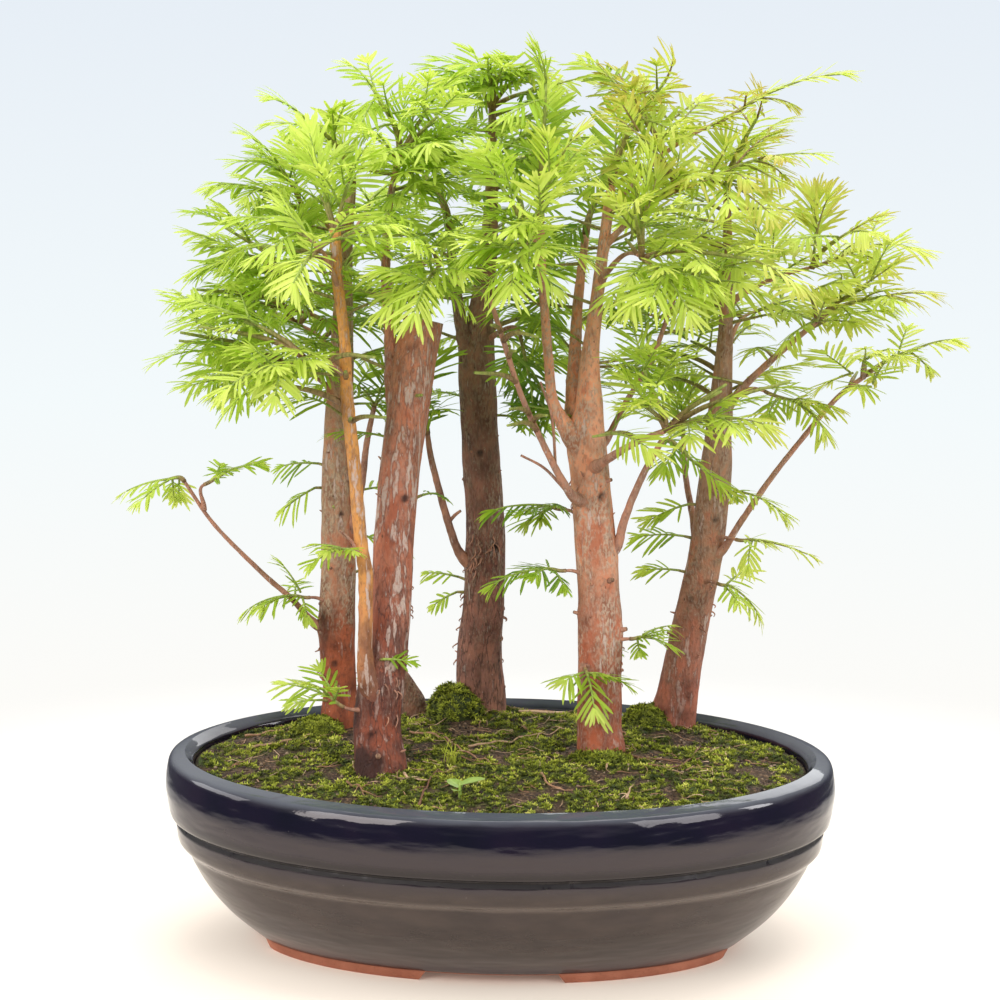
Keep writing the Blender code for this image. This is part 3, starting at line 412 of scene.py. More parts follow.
# Loose fibres of bark: tree, height, facing, spread in degrees and up the trunk, how many, longest
FIBRES = (
    ("tree_3", 166, 262, 46, 9, 16, 9.0),
    ("tree_3", 132, 182, 16, 26, 9, 3.5),
    ("tree_3", 118, 352, 14, 24, 8, 3.5),
    ("tree_4", 206, 205, 22, 6, 7, 6.0),
    ("tree_4", 120, 350, 16, 22, 7, 3.0),
    ("tree_2", 121, 300, 40, 9, 8, 7.0),
    ("tree_2", 150, 350, 12, 24, 6, 3.0),
    ("tree_5", 152, 300, 40, 30, 8, 4.0),
    ("tree_1", 128, 200, 26, 18, 7, 3.5),
)
# Small shoots on the trunks: tree, height, facing, the way they grow in degrees, lift, length, needle
SMALL_SHOOTS = (
    ("tree_2", 137, 258, 4, 6, 13, 7),
    ("tree_1", 190, 262, 100, 20, 10, 6),
    ("tree_1", 199, 190, 205, -20, 18, 11),
    ("tree_1", 208, 150, 172, 6, 18, 11),
    ("tree_1", 103, 250, 60, 40, 12, 9),
    ("tree_1", 100, 235, 205, 10, 14, 9),
    ("tree_1", 196, 20, 30, 10, 22, 12),
    ("tree_1", 176, 30, 10, -14, 22, 12),
    ("tree_1", 158, 40, 35, 4, 20, 12),
    ("tree_2", 205, 30, 60, 6, 16, 10),
    ("tree_3", 152, 165, 172, 16, 16, 8),
    ("tree_3", 147, 185, 190, -18, 13, 7),
    ("tree_4", 132, 100, 70, 10, 18, 11),
    ("tree_5", 192, 190, 200, -8, 20, 12),
    ("tree_5", 176, 190, 180, 10, 20, 12),
    ("tree_5", 160, 200, 186, 12, 16, 10),
)
# Stubby spurs on each trunk, and how high they reach
SPURS = 9
SPUR_TOP = 240.0
# Limbs that end in three fronds, as they bear no spray
BARE_ENDS = (("tree_1", "inner_branch"), ("tree_5", "back_left"))
# Places on the bark: tree, height, facing, half width, half height, how dark, peeled and red it is
PATCHES = (
    ("tree_2", 92, 240, 6.5, 5.5, 3.0, 0.0, 0.0),
    ("tree_2", 112, 212, 4.0, 16.0, 0.75, 0.0, 0.0),
    ("tree_2", 88, 310, 4.0, 3.0, 0.5, 0.0, 0.0),
    ("tree_2", 103, 276, 6.5, 12.0, 0.0, 0.0, 2.0),
    ("tree_2", 106, 274, 1.3, 1.5, 0.9, 0.0, 0.0),
    ("tree_2", 118, 248, 4.5, 9.0, 0.5, 0.0, 0.0),
    ("tree_2", 138, 240, 3.0, 12.0, 0.6, 0.0, 0.0),
    ("tree_2", 124, 296, 5.0, 9.0, 0.0, 0.7, 0.0),
    ("tree_2", 176, 285, 4.0, 20.0, 0.0, 1.0, 0.0),
    ("tree_2", 218, 300, 3.0, 17.0, 0.0, 1.0, 0.0),
    ("tree_2", 206, 262, 3.0, 14.0, 0.0, 0.8, 0.0),
    ("tree_2", 236, 280, 6.0, 14.0, 0.0, 0.7, 0.0),
    ("tree_2", 150, 285, 5.0, 10.0, 0.0, 0.8, 0.0),
    ("tree_2", 198, 285, 6.0, 16.0, 0.0, 0.0, 0.7),
    ("tree_2", 150, 262, 5.0, 12.0, 0.0, 0.0, 0.6),
    ("tree_4", 88, 285, 6.0, 7.0, 0.0, 0.0, 1.0),
    ("tree_4", 88, 235, 4.0, 5.0, 0.6, 0.0, 0.0),
    ("tree_4", 110, 270, 5.0, 14.0, 0.0, 0.0, 0.8),
    ("tree_4", 122, 232, 2.5, 9.0, 0.7, 0.0, 0.0),
    ("tree_4", 140, 262, 6.0, 16.0, 0.0, 0.0, 0.4),
    ("tree_4", 186, 275, 6.0, 15.0, 0.0, 0.0, 0.8),
    ("tree_4", 104, 305, 4.0, 12.0, 0.0, 0.9, 0.0),
    ("tree_5", 100, 275, 6.0, 10.0, 0.0, 0.9, 0.2),
    ("tree_5", 118, 270, 6.0, 12.0, 0.0, 0.8, 0.3),
    ("tree_5", 92, 300, 5.0, 4.0, 0.5, 0.0, 0.0),
    ("tree_1", 118, 275, 8.0, 18.0, 0.0, 0.0, 1.0),
    ("tree_1", 104, 300, 6.0, 12.0, 0.0, 0.2, 0.8),
    ("tree_1", 133, 232, 2.5, 12.0, 0.8, 0.0, 0.0),
    ("tree_1", 168, 310, 3.5, 18.0, 0.0, 0.0, 0.8),
    ("tree_3", 104, 280, 7.0, 10.0, 0.0, 0.7, 0.3),
)
# Surface roots, through places on the soil
ROOTS = (
    ((-42, 22), (-30, 16), (-15, -10), (1, -33)),
    ((-14, 1), (1, 9), (15, 22), (27, 33)),
    ((-31, -80), (-29, -58), (-25, -36)),
    ((-112, 4), (-99, 12), (-91, 16), (-82, 26)),
    ((-118, 30), (-106, 36), (-94, 36)),
    ((66, -24), (77, -21), (86, -4), (90, 16)),
    ((57, -66), (60, -48)),
    ((55, 53), (64, 64)),
    ((-64, -52), (-58, -60), (-55, -68)),
    ((-40, -46), (-36, -52), (-28, -53)),
    ((58, -8), (68, -12), (80, -10)),
    ((20, -44), (25, -56), (34, -60)),
)

# The camera: degrees round, up and rolled, and metres from what it looks at
CAMERA_TURNS = (2.5, 11.0, 0.5)
CAMERA_AIM = (-0.001, 0, 0.2015)
CAMERA_AWAY = 1.5
CAMERA_LENS = 122.3
FLOOR_RADIUS = 16
FLOOR_SIDES = 96
# Soft lamps: name, place, aim and size in metres, power, colour
LAMPS = (
    ("key", (-1.2, -1.4, 1.0), (0, 0, 0.2), (0.9, 1.2), 20, (1.0, 0.98, 0.95)),
    ("fill", (1.4, -1.2, 0.8), (0, 0, 0.15), (0.8, 1.0), 12, (0.95, 0.98, 1.0)),
    ("top", (0.1, 0.2, 1.7), (0, 0, 0.2), (1.4, 1.0), 12, (1.0, 1.0, 1.0)),
    ("back", (0.6, 1.6, 1.2), (0, 0, 0.25), (1.6, 1.0), 12, (0.97, 0.99, 1.0)),
    ("window", (1.7, -0.25, 0.75), (0.1, 0, 0.1), (0.35, 0.6), 6, (0.93, 0.97, 1.0)),
    ("left", (-1.7, 0.15, 0.7), (-0.1, 0, 0.1), (1.1, 0.6), 7, (0.95, 0.98, 1.0)),
)

low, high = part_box("pot")
HOME = Vector(((low.x + high.x) / 2, (low.y + high.y) / 2, 0))


def clamp(value, bottom=0.0, top=1.0):
    """A value kept between two others."""
    return max(bottom, min(top, value))


def level(turn, rise=0.0):
    """A direction that points turn radians round from +X, with a rise."""
    return Vector((math.cos(turn), math.sin(turn), rise))


def towards(degrees, rise=0.0):
    """A direction that points so many degrees round from +X, with a rise."""
    return level(math.radians(degrees), rise)


def sway(x, y, size, layer):
    """Smooth noise over the ground with features about size across. Each layer has its own."""
    return noise.noise(Vector((x / size, y / size, layer)))


def show(name, data):
    """A new object of the scene from its data."""
    obj = bpy.data.objects.new(name, data)
    bpy.context.scene.collection.objects.link(obj)
    return obj


def face_outwards(mesh):
    """Turn a closed mesh's faces so that they all look outwards."""
    skin = bmesh.new()
    skin.from_mesh(mesh)
    bmesh.ops.recalc_face_normals(skin, faces=skin.faces)
    skin.to_mesh(mesh)
    skin.free()


class Parts:
    """Points, faces, material numbers and point values of one piece, gathered from its parts."""

    def __init__(self, *names):
        self.points = []
        self.faces = []
        self.slots = []
        self.count = 0
        self.values = {name: [] for name in names}

    def add(self, points, faces, slot=0, **values):
        """Add a part. A value is one number for the whole part, or one for each point."""
        points = np.asarray(points, float).reshape(-1, 3)
        if isinstance(faces, np.ndarray):
            faces = (faces + self.count).tolist()
        else:
            faces = [tuple(i + self.count for i in face) for face in faces]
        self.points.append(points)
        self.faces += faces
        self.slots += [slot] * len(faces)
        self.count += len(points)
        for name, kept in self.values.items():
            kept.append(np.broadcast_to(np.asarray(values.get(name, 0.0), float), len(points)))


def add_piece(name, parts, materials, slot, *nodes):
    """A smooth mesh object in the place of the solids that it stands for."""
    mesh = bpy.data.meshes.new(name)
    points = np.concatenate(parts.points) * MM + np.array(HOME)
    mesh.from_pydata(points.tolist(), [], parts.faces)
    for finish in materials:
        mesh.materials.append(finish)
    mesh.polygons.foreach_set("material_index", parts.slots)
    for key, kept in parts.values.items():
        values = np.concatenate(kept).astype(np.float32)
        mesh.attributes.new(key, "FLOAT", "POINT").data.foreach_set("value", values)
    mesh.shade_smooth()
    mesh.update()
    obj = show(name, mesh)
    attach(obj, "root")
    if nodes:
        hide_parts(*nodes)
    return obj


class Nodes:
    """Short calls for the nodes of one tree."""

    def __init__(self, tree):
        self.nodes = tree.nodes
        self.links = tree.links

    def feed(self, socket, value):
        """Give a socket a constant or a link."""
        if isinstance(value, bpy.types.NodeSocket):
            self.links.new(value, socket)
        elif isinstance(value, tuple) and len(value) == 3 and socket.type == "RGBA":
            socket.default_value = (*value, 1)
        else:
            socket.default_value = value

    def ramp(self, factor, *stops):
        """A colour ramp: position and colour of each stop."""
        node = self.nodes.new("ShaderNodeValToRGB")
        self.feed(node.inputs["Fac"], factor)
        marks = node.color_ramp.elements
        while len(marks) < len(stops):
            marks.new(0.5)
        for mark, (place, colour) in zip(marks, stops):
            mark.position = place
            mark.color = (*colour, 1)
        return node.outputs["Color"]

    def step(self, factor, low, high, bottom=0.0, top=1.0):
        """A smooth step of a factor between two values."""
        node = self.nodes.new("ShaderNodeMapRange")
        node.interpolation_type = "SMOOTHSTEP"
        values = (factor, low, high, bottom, top)
        for name, value in zip(("Value", "From Min", "From Max", "To Min", "To Max"), values):
            self.feed(node.inputs[name], value)
        return node.outputs["Result"]

    def math(self, operation, first, second):
        """A sum of two values."""
        node = self.nodes.new("ShaderNodeMath")
        node.operation = operation
        self.feed(node.inputs[0], first)
        self.feed(node.inputs[1], second)
        return node.outputs["Value"]

    def times(self, first, second):
        """Two values multiplied."""
        return self.math("MULTIPLY", first, second)

    def plus(self, first, second):
        """Two values added."""
        return self.math("ADD", first, second)

    def minus(self, first, second):
        """The second value taken from the first."""
        return self.math("SUBTRACT", first, second)

    def mix(self, factor, first, second, blend="MIX"):
        """Two colours mixed by a factor."""
        node = self.nodes.new("ShaderNodeMix")
        node.data_type = "RGBA"
        node.blend_type = blend
        self.feed(node.inputs["Factor"], factor)
        sockets = [s for s in node.inputs if s.type == "RGBA"]
        self.feed(sockets[0], first)
        self.feed(sockets[1], second)
        return next(s for s in node.outputs if s.type == "RGBA")


class Paint(Nodes):
    """A material and the nodes that several materials use. Lengths are in metres."""

    def __init__(self, name):
        self.material = bpy.data.materials.new(name)
        self.material.use_nodes = True
        super().__init__(self.material.node_tree)
        self.shader = self.nodes["Principled BSDF"]
        self.place = self.nodes.new("ShaderNodeTexCoord").outputs["Object"]

    def value(self, name):
        """A point value of the mesh."""
        node = self.nodes.new("ShaderNodeAttribute")
        node.attribute_name = name
        return node.outputs["Fac"]

    def axis(self, name):
        """One coordinate of the place."""
        node = self.nodes.new("ShaderNodeSeparateXYZ")
        self.feed(node.inputs[0], self.place)
        return node.outputs[name]

    def noise(self, size, detail=4.0, stretch=(1, 1, 1), seed=0.0):
        """Noise with features about size metres across, drawn out along each axis."""
        mapping = self.nodes.new("ShaderNodeMapping")
        mapping.inputs["Scale"].default_value = [1 / (size * s) for s in stretch]
        mapping.inputs["Location"].default_value = (seed, seed * 0.7, seed * 1.3)
        self.feed(mapping.inputs["Vector"], self.place)
        node = self.nodes.new("ShaderNodeTexNoise")
        node.inputs["Scale"].default_value = 1.0
        node.inputs["Detail"].default_value = detail
        self.feed(node.inputs["Vector"], mapping.outputs["Vector"])
        return node.outputs["Fac"]

    def finish(self, colour, rough, height=None, strength=0.0, depth=0.0, **values):
        """Set the colour, roughness, relief and further sockets, and give the finished material."""
        values.update(Base_Color=colour, Roughness=rough)
        for name, value in values.items():
            self.feed(self.shader.inputs[name.replace("_", " ")], value)
        if height is not None:
            node = self.nodes.new("ShaderNodeBump")
            node.inputs["Strength"].default_value = strength
            node.inputs["Distance"].default_value = depth
            self.feed(node.inputs["Height"], height)
            self.feed(self.shader.inputs["Normal"], node.outputs["Normal"])
        return self.material


def bark_material(
    name, bands, scurf, scurf_band, streak, streak_share, dark, seed, depth=0.85, strand=2.0, cracks=0.0
):
    """Stringy bark: bands of colour up the trunk, fine scurf, pale flaky streaks and dark cracks.

    bands holds a height in metres and a colour for each stop. scurf_band is the two heights between
    which the scurf grows in. The point values scar, peel and red darken, whiten and redden places.
    depth is the strength of the relief, strand how drawn out its fibres are, and cracks how dark
    the thin cracks of the lower trunk are.
    """
    paint = Paint(name)
    times, plus, minus, step, mix = paint.times, paint.plus, paint.minus, paint.step, paint.mix

    def speckle(size, detail, tall, layer):
        return paint.noise(size, detail, (1, 1, tall), seed + layer)

    broad = speckle(0.012, 3.0, 2.0, 0)
    patch = speckle(0.006, 5.0, 1.6, 2)
    fibre = speckle(0.0016, 5.0, strand, 3)
    fine = speckle(0.0009, 4.0, 2.2, 5)
    streaks = speckle(0.0023, 5.0, 6.5, 7)
    where = speckle(0.011, 3.0, 3, 9)
    split = speckle(0.0042, 4.0, 4.5, 13)
    height = plus(paint.axis("Z"), times(minus(broad, 0.5), 0.09))

    low, high = bands[0][0], bands[-1][0]
    colour = paint.ramp(step(height, low, high), *[((z - low) / (high - low), c) for z, c in bands])
    shade = paint.ramp(patch, (0.3, (0.62, 0.54, 0.5)), (0.5, (1.18, 1.16, 1.14)), (0.68, (1.6, 1.5, 1.4)))
    colour = mix(1.0, colour, shade, "MULTIPLY")
    smooth = step(plus(patch, times(paint.value("red"), 0.26)), 0.5, 0.76, 0.0, 0.75)
    colour = mix(smooth, colour, mix(1.0, bands[0][1], (1.6, 1.5, 1.35), "MULTIPLY"))

    grain = plus(times(fine, 0.65), times(fibre, 0.35))
    crust = times(step(grain, 0.44, 0.56), times(step(height, *scurf_band), 0.8))
    crust = times(crust, step(plus(where, times(patch, -0.35)), 0.2, 0.42, 0.3, 1.0))
    crust = times(crust, step(smooth, 0.9, 0.2))
    colour = mix(crust, colour, scurf)
    colour = mix(step(fibre, 0.54, 0.66, 0.0, 0.34), colour, dark)
    crack = times(step(split, 0.478, 0.492), step(split, 0.522, 0.508))
    crack = times(crack, step(height, 0.21, 0.12, 0.2 * cracks, cracks))
    colour = mix(crack, colour, dark)

    mask = plus(times(where, 0.3), times(streaks, 0.7))
    mask = plus(mask, times(paint.value("peel"), 0.06))
    edge = 0.6 - 0.055 * streak_share
    pale = times(step(mask, edge, edge + 0.035), step(height, 0.1, 0.16, 0.45, 1.0))
    pale = times(pale, minus(1.0, paint.value("scar")))
    rim = times(step(mask, edge - 0.03, edge), minus(1.0, pale))
    colour = mix(times(rim, 0.35), colour, dark)
    colour = mix(times(pale, step(fine, 0.36, 0.54, 0.4, 0.95)), colour, streak)
    colour = mix(step(fine, 0.67, 0.73, 0.0, 0.6), colour, streak)
    pits = step(speckle(0.0022, 2.0, 1.4, 11), 0.7, 0.76, 0.0, 0.7)
    colour = mix(pits, colour, dark)
    ragged = times(paint.value("scar"), step(patch, 0.3, 0.6, 0.25, 1.3))
    colour = mix(times(step(ragged, 0.0, 1.0), 0.92), colour, tuple(0.4 * c for c in dark))

    relief = plus(plus(fibre, times(fine, 0.5)), times(pale, 0.4))
    relief = minus(plus(relief, times(crust, 0.3)), times(crack, 0.5))
    rough = step(broad, 0.3, 0.7, 0.55, 0.78)
    return paint.finish(colour, rough, minus(relief, pits), depth, 0.0012, Specular_IOR_Level=0.4)


def cut_material():
    """Weathered cut wood."""
    paint = Paint("cut_wood")
    grain = paint.noise(0.0012, 4.0, (1, 1, 6))
    colour = paint.ramp(grain, (0.35, (0.12, 0.06, 0.035)), (0.6, (0.35, 0.2, 0.12)))
    return paint.finish(colour, 0.85, grain, 0.6, 0.0006)


def leaf_material():
    """Thin soft needles that let light through, deep green to yellow-green by their tint value, which also
    carries painted light and shade.
    """
    paint = Paint("needles")
    tint = paint.plus(paint.value("tint"), paint.times(paint.noise(0.02, 2.0), 0.24))
    colour = paint.ramp(
        paint.minus(tint, 0.12),
        (0.0, (0.05, 0.14, 0.025)),
        (0.3, (0.16, 0.34, 0.025)),
        (0.62, (0.43, 0.63, 0.04)),
        (1.0, (0.78, 0.89, 0.19)),
    )
    colour = paint.mix(paint.value("bronze"), colour, (0.56, 0.3, 0.07))
    vein = paint.math("POWER", paint.value("vein"), 5.0)
    lit = paint.mix(paint.times(vein, 0.3), colour, (0.6, 0.8, 0.25))
    paint.finish(lit, 0.5, paint.noise(0.0006, 2.0), 0.15, 0.0002, Specular_IOR_Level=0.22)
    through = paint.nodes.new("ShaderNodeBsdfTranslucent")
    paint.feed(through.inputs["Color"], paint.mix(0.35, colour, (0.76, 0.86, 0.12)))
    both = paint.nodes.new("ShaderNodeMixShader")
    for socket, value in zip(both.inputs, (0.42, paint.shader.outputs[0], through.outputs[0])):
        paint.feed(socket, value)
    paint.feed(paint.nodes["Material Output"].inputs["Surface"], both.outputs[0])
    return paint.material


def twig_material():
    """Green young twigs that turn red-brown towards the wood, by the value wood."""
    paint = Paint("young_twig")
    grain = paint.noise(0.0012, 3.0, (1, 1, 3))
    wood = paint.ramp(grain, (0.35, (0.16, 0.075, 0.04)), (0.65, (0.38, 0.2, 0.11)))
    green = paint.ramp(grain, (0.3, (0.2, 0.3, 0.04)), (0.7, (0.42, 0.52, 0.1)))
    return paint.finish(paint.mix(paint.value("wood"), green, wood), 0.6, grain, 0.4, 0.0003)


def glaze_material():
    """A near-black navy glaze that goes purple and brown where it thins over an edge, with painted shade
    over the groove and a painted highlight on the rim top.
    """
    paint = Paint("navy_glaze")
    times, plus, step, mix = paint.times, paint.plus, paint.step, paint.mix
    cloud = paint.noise(0.035, 3.0)
    pool = paint.noise(0.009, 4.0, (2, 2, 0.7), 4.0)
    navy = ((0.3, (0.002, 0.003, 0.009)), (0.5, (0.005, 0.004, 0.014)), (0.72, (0.011, 0.006, 0.018)))
    brown = ((0.3, (0.026, 0.018, 0.015)), (0.7, (0.046, 0.032, 0.026)))
    up = plus(paint.axis("Z"), times(pool, 0.0024))
    colour = mix(step(up, 0.0755, 0.069), paint.ramp(cloud, *navy), (0.027, 0.02, 0.024))
    thin = times(step(up, 0.0555, 0.05), step(cloud, 0.2, 0.55, 0.7, 0.95))
    colour = mix(thin, colour, paint.ramp(pool, *brown))
    # A near-black band just over the groove: painted shade.
    band = times(step(up, 0.0545, 0.0575), step(up, 0.0655, 0.061))
    ridge = times(step(up, 0.0428, 0.0448), step(up, 0.0484, 0.046))
    # The groove is painted black: painted shade, with rougher glaze there.
    groove_shade = times(step(up, 0.0552, 0.0562), step(up, 0.0592, 0.0584))
    groove_shade = times(groove_shade, step(paint.noise(0.006, 3.0, (1, 1, 3), 13.0), 0.3, 0.5, 0.3, 1.0))
    specks = step(paint.noise(0.0012, 2.0, (1, 1, 1), 9.0), 0.76, 0.8)
    layers = (
        # painted shade of the band over the groove
        (band, 0.9, (0.005, 0.004, 0.006)),
        (step(up, 0.0135, 0.0085), 0.8, (0.012, 0.008, 0.016)),
        (ridge, 0.6, (0.1, 0.072, 0.057)),
        # Pale blue on the rim top: a painted highlight.
        (step(up, 0.0832, 0.0868), 0.8, (0.095, 0.105, 0.13)),
        # painted shade in the groove
        (groove_shade, 0.97, (0.001, 0.001, 0.002)),
        (specks, 0.35, (0.22, 0.2, 0.19)),
    )
    for mask, share, shade in layers:
        colour = mix(times(mask, share), colour, shade)
    low_wall = step(paint.axis("Z"), 0.062, 0.03)
    rough = plus(plus(times(low_wall, 0.15), times(groove_shade, 0.5)), 0.06)
    wave = plus(paint.noise(0.009, 2.0, (4, 4, 1), 2.0), times(pool, 0.2))
    gloss = {"Specular_IOR_Level": 0.55, "Specular_Tint": (1.0, 0.93, 0.93)}
    return paint.finish(colour, rough, wave, 0.5, 0.0016, **gloss)


def terracotta_material():
    """Bare fired clay of the feet and the underside."""
    paint = Paint("bare_clay")
    grit = paint.noise(0.0011, 3.0)
    colour = paint.ramp(paint.noise(0.012, 5.0), (0.3, (0.27, 0.085, 0.045)), (0.7, (0.42, 0.155, 0.09)))
    colour = paint.mix(paint.step(grit, 0.62, 0.7, 0.0, 0.5), colour, (0.16, 0.06, 0.03))
    return paint.finish(colour, 0.85, grit, 0.5, 0.0005)


def soil_material():
    """Dark moist soil with crumbs."""
    paint = Paint("dark_soil")
    crumb = paint.noise(0.0016, 5.0)
    colour = paint.ramp(paint.noise(0.012, 4.0), (0.3, (0.03, 0.016, 0.009)), (0.7, (0.1, 0.053, 0.029)))
    colour = paint.mix(paint.step(crumb, 0.52, 0.62, 0.0, 0.75), colour, (0.26, 0.15, 0.085))
    film = paint.times(paint.value("green"), paint.step(crumb, 0.35, 0.6))
    return paint.finish(paint.mix(film, colour, (0.07, 0.11, 0.012)), 0.9, crumb, 1.0, 0.0024)


def moss_material():
    """Moss leaves: bright where they reach the light, dark at the foot."""
    paint = Paint("moss_leaves")
    colour = paint.ramp(
        paint.value("tint"),
        (0.0, (0.035, 0.055, 0.008)),
        (0.35, (0.13, 0.15, 0.015)),
        (0.7, (0.45, 0.5, 0.04)),
        (1.0, (0.86, 0.82, 0.2)),
    )
    shade = paint.mix(paint.noise(0.004, 3.0), (0.75, 0.85, 0.6), (1.2, 1.1, 1.0))
    colour = paint.mix(1.0, colour, shade, "MULTIPLY")
    depth = paint.step(paint.value("tip"), 0.0, 1.0, 0.35, 1.1)
    return paint.finish(paint.mix(depth, (0.012, 0.022, 0.004), colour), 0.75)


def toned_material(name, stops, size, detail, flecks, fleck, rough, strength):
    """Loose things coloured by the value tone, with darker flecks between two heights of their noise."""
    paint = Paint(name)
    grain = paint.noise(size, detail)
    colour = paint.ramp(paint.value("tone"), *stops)
    colour = paint.mix(paint.step(grain, *flecks, 0.0, 0.5), colour, fleck)
    return paint.finish(colour, rough, grain, strength, 0.0003)


def grit_material():
    """Small stones and crumbs, tan to nearly black."""
    stops = ((0.0, (0.02, 0.013, 0.009)), (0.6, (0.14, 0.08, 0.05)), (1.0, (0.5, 0.36, 0.24)))
    return toned_material("grit", stops, 0.0005, 3.0, (0.4, 0.7), (0.05, 0.03, 0.02), 0.85, 0.6)


def root_material():
    """Fine roots and dead twigs, pale tan to red-brown."""
    stops = ((0.0, (0.16, 0.07, 0.035)), (0.5, (0.42, 0.22, 0.12)), (1.0, (0.72, 0.5, 0.33)))
    return toned_material("roots", stops, 0.0015, 4.0, (0.45, 0.65), (0.2, 0.1, 0.06), 0.75, 0.5)


def screen_material():
    """Black moulded mesh with a fine matt grain."""
    paint = Paint("screen_mesh")
    grain = paint.noise(0.0006, 3.0)
    colour = paint.ramp(grain, (0.3, (0.015, 0.015, 0.016)), (0.7, (0.05, 0.05, 0.052)))
    return paint.finish(colour, 0.6, grain, 0.4, 0.0002)


def floor_material():
    """A warm white floor that fades out far from the pot into the pale backdrop, lighter and warmer near
    the pot as painted light that lifts the pot's shadow.
    """
    paint = Paint("floor")
    place = paint.nodes.new("ShaderNodeVectorMath")
    place.operation = "LENGTH"
    paint.feed(place.inputs[0], paint.place)
    away = place.outputs["Value"]
    # Lighter near the pot: painted light that lifts its shadow.
    colour = paint.mix(paint.step(away, 0.12, 0.5), (0.95, 0.84, 0.73), (0.8, 0.79, 0.77))
    glow = {"Emission_Color": (1.0, 0.86, 0.72), "Emission_Strength": 0.1}
    return paint.finish(colour, 0.9, Specular_IOR_Level=0.1, Alpha=paint.step(away, 0.52, 0.2), **glow)


def smooth_route(points, step):
    """A smooth curve through x, y, z, radius rows, read about every step millimetres."""
    rows = [Vector(p) for p in points]
    ends = [rows[0] * 2 - rows[1]] + rows + [rows[-1] * 2 - rows[-2]]
    route = [rows[0]]
    for k in range(1, len(rows)):
        a, b, c, d = ends[k - 1 : k + 3]
        parts = max(1, round((c - b).length / step))
        for i in range(1, parts + 1):
            t = i / parts
            bow = (c - a) * t + (a * 2 - b * 5 + c * 4 - d) * t**2 + (b * 3 - a - c * 3 + d) * t**3
            route.append(b + bow * 0.5)
    return route


def tube_rings(route, sides, swell, leave=None, arrive=None):
    """Rings of points round x, y, z, radius rows. swell gives the radius at a row and an angle."""
    rings = []
    across = None
    for k, row in enumerate(route):
        ahead = route[min(k + 1, len(route) - 1)].to_3d() - route[max(k - 1, 0)].to_3d()
        if k == 0 and leave:
            ahead = leave.copy()
        if k == len(route) - 1 and arrive:
            ahead = arrive.copy()
        ahead.normalize()
        if across is None:
            across = Vector((1, 0, 0)) if abs(ahead.x) < 0.8 else UP
        across = (across - ahead * across.dot(ahead)).normalized()
        other = ahead.cross(across)
        ring = []
        for i in range(sides):
            angle = TURN * i / sides
            out = across * math.cos(angle) + other * math.sin(angle)
            ring.append(row.to_3d() + out * swell(row, angle, out))
        rings.append(ring)
    return rings


def skin_over(rings, bottom=True, top=True):
    """Points and faces of a skin over rings that have the same number of points."""
    sides = len(rings[0])
    points = [p for ring in rings for p in ring]
    faces = []
    for k in range(len(rings) - 1):
        for i in range(sides):
            a, b = k * sides + i, k * sides + (i + 1) % sides
            faces.append((a, b, b + sides, a + sides))
    if bottom:
        faces.append(tuple(range(sides))[::-1])
    if top:
        faces.append(tuple(range(len(points) - sides, len(points))))
    return points, faces


def tube(route, sides, ripple=0.0, leave=None, arrive=None):
    """Points and faces of a closed tube with the solids' own ripple."""

    def swell(row, angle, _):
        return row.w * (1 + ripple * math.sin(3 * angle + 0.02 * row.z))

    points, faces = skin_over(tube_rings(route, sides, swell, leave, arrive))
    split = [half for face in faces[:-2] for half in (face[:3], (face[0], face[2], face[3]))]
    return points, split + faces[-2:]


def row_at(route, z):
    """The row of a route at a height: x, y, z and radius."""
    for low, high in zip(route, route[1:]):
        if low.z <= z <= high.z:
            return low.lerp(high, (z - low.z) / (high.z - low.z))
    return route[-1]


def at_height(route, z):
    """The point of a route at a height."""
    return row_at(route, z).to_3d()


def radius_at(route, z):
    """The radius of a route at a height."""
    return row_at(route, z).w


def on_bark(trunk, z, out):
    """The point of a trunk's bark at a height, in a level direction."""
    return at_height(trunk, z) + out * radius_at(trunk, z)


def bend(start, leaving, end, arriving, count):
    """Points of a curve from start to end that leaves and arrives along two directions."""
    reach = (end - start).length * 0.38
    first, second = start + leaving * reach, end - arriving * reach
    curve = []
    for i in range(count + 1):
        t = i / count
        s = 1 - t
        curve.append(start * s**3 + first * (3 * s * s * t) + second * (3 * s * t * t) + end * t**3)
    return curve


def rows_of(curve, first_radius, last_radius):
    """A curve's points with a radius that runs from first to last."""
    last = len(curve) - 1
    more = last_radius - first_radius
    return [Vector((*p, first_radius + more * i / last)) for i, p in enumerate(curve)]


def spray_plan(spray, routes, steps):
    """Where a spray's twig leaves the wood: its direction, and the rows of a branch of its own or None."""
    tree, part, height, start, tip = spray[:5]
    route = routes[tree, part]
    start, tip = Vector(start), Vector(tip)
    if height is None:
        leaving = (route[-1].to_3d() - route[-2].to_3d()).normalized()
        return leaving, None, route[-1].w
    heading = (tip - start).normalized()
    root = at_height(route, height)
    outwards = ((start - root).normalized() + UP * 0.3).normalized()
    curve = bend(root, outwards, start - heading * TOUCH_GAP, heading, steps)
    thick = min(1.25 + 0.018 * (start - root).length, 2.0)
    return heading, rows_of(curve, thick, TWIG_RADIUS), TWIG_RADIUS


def limb_shapes(tree, routes, plans):
    """The plain shapes that a tree's solid is fused from: its trunk, limbs, spray branches and stubs."""
    shapes = [tube(routes[tree, "trunk"], TRUNK_SIDES, BARK_RIPPLE)]
    for part in WOOD[tree]:
        if part != "trunk":
            route = routes[tree, part]
            shapes.append(tube(route, LEADER_SIDES if route[0].w > 3 else BRANCH_SIDES))
    for spray, (heading, branch, _) in zip(SPRAYS, plans):
        if spray[0] == tree and branch:
            shapes.append(tube(branch, TWIG_SIDES, arrive=heading))
    for owner, height, facing, length, radius in STUBS:
        if owner == tree:
            root = at_height(routes[tree, "trunk"], height)
            tip = root + towards(facing, STUB_RISE) * length
            shapes.append(tube(rows_of([root, tip], radius, radius * 0.7), BRANCH_SIDES))
    return shapes


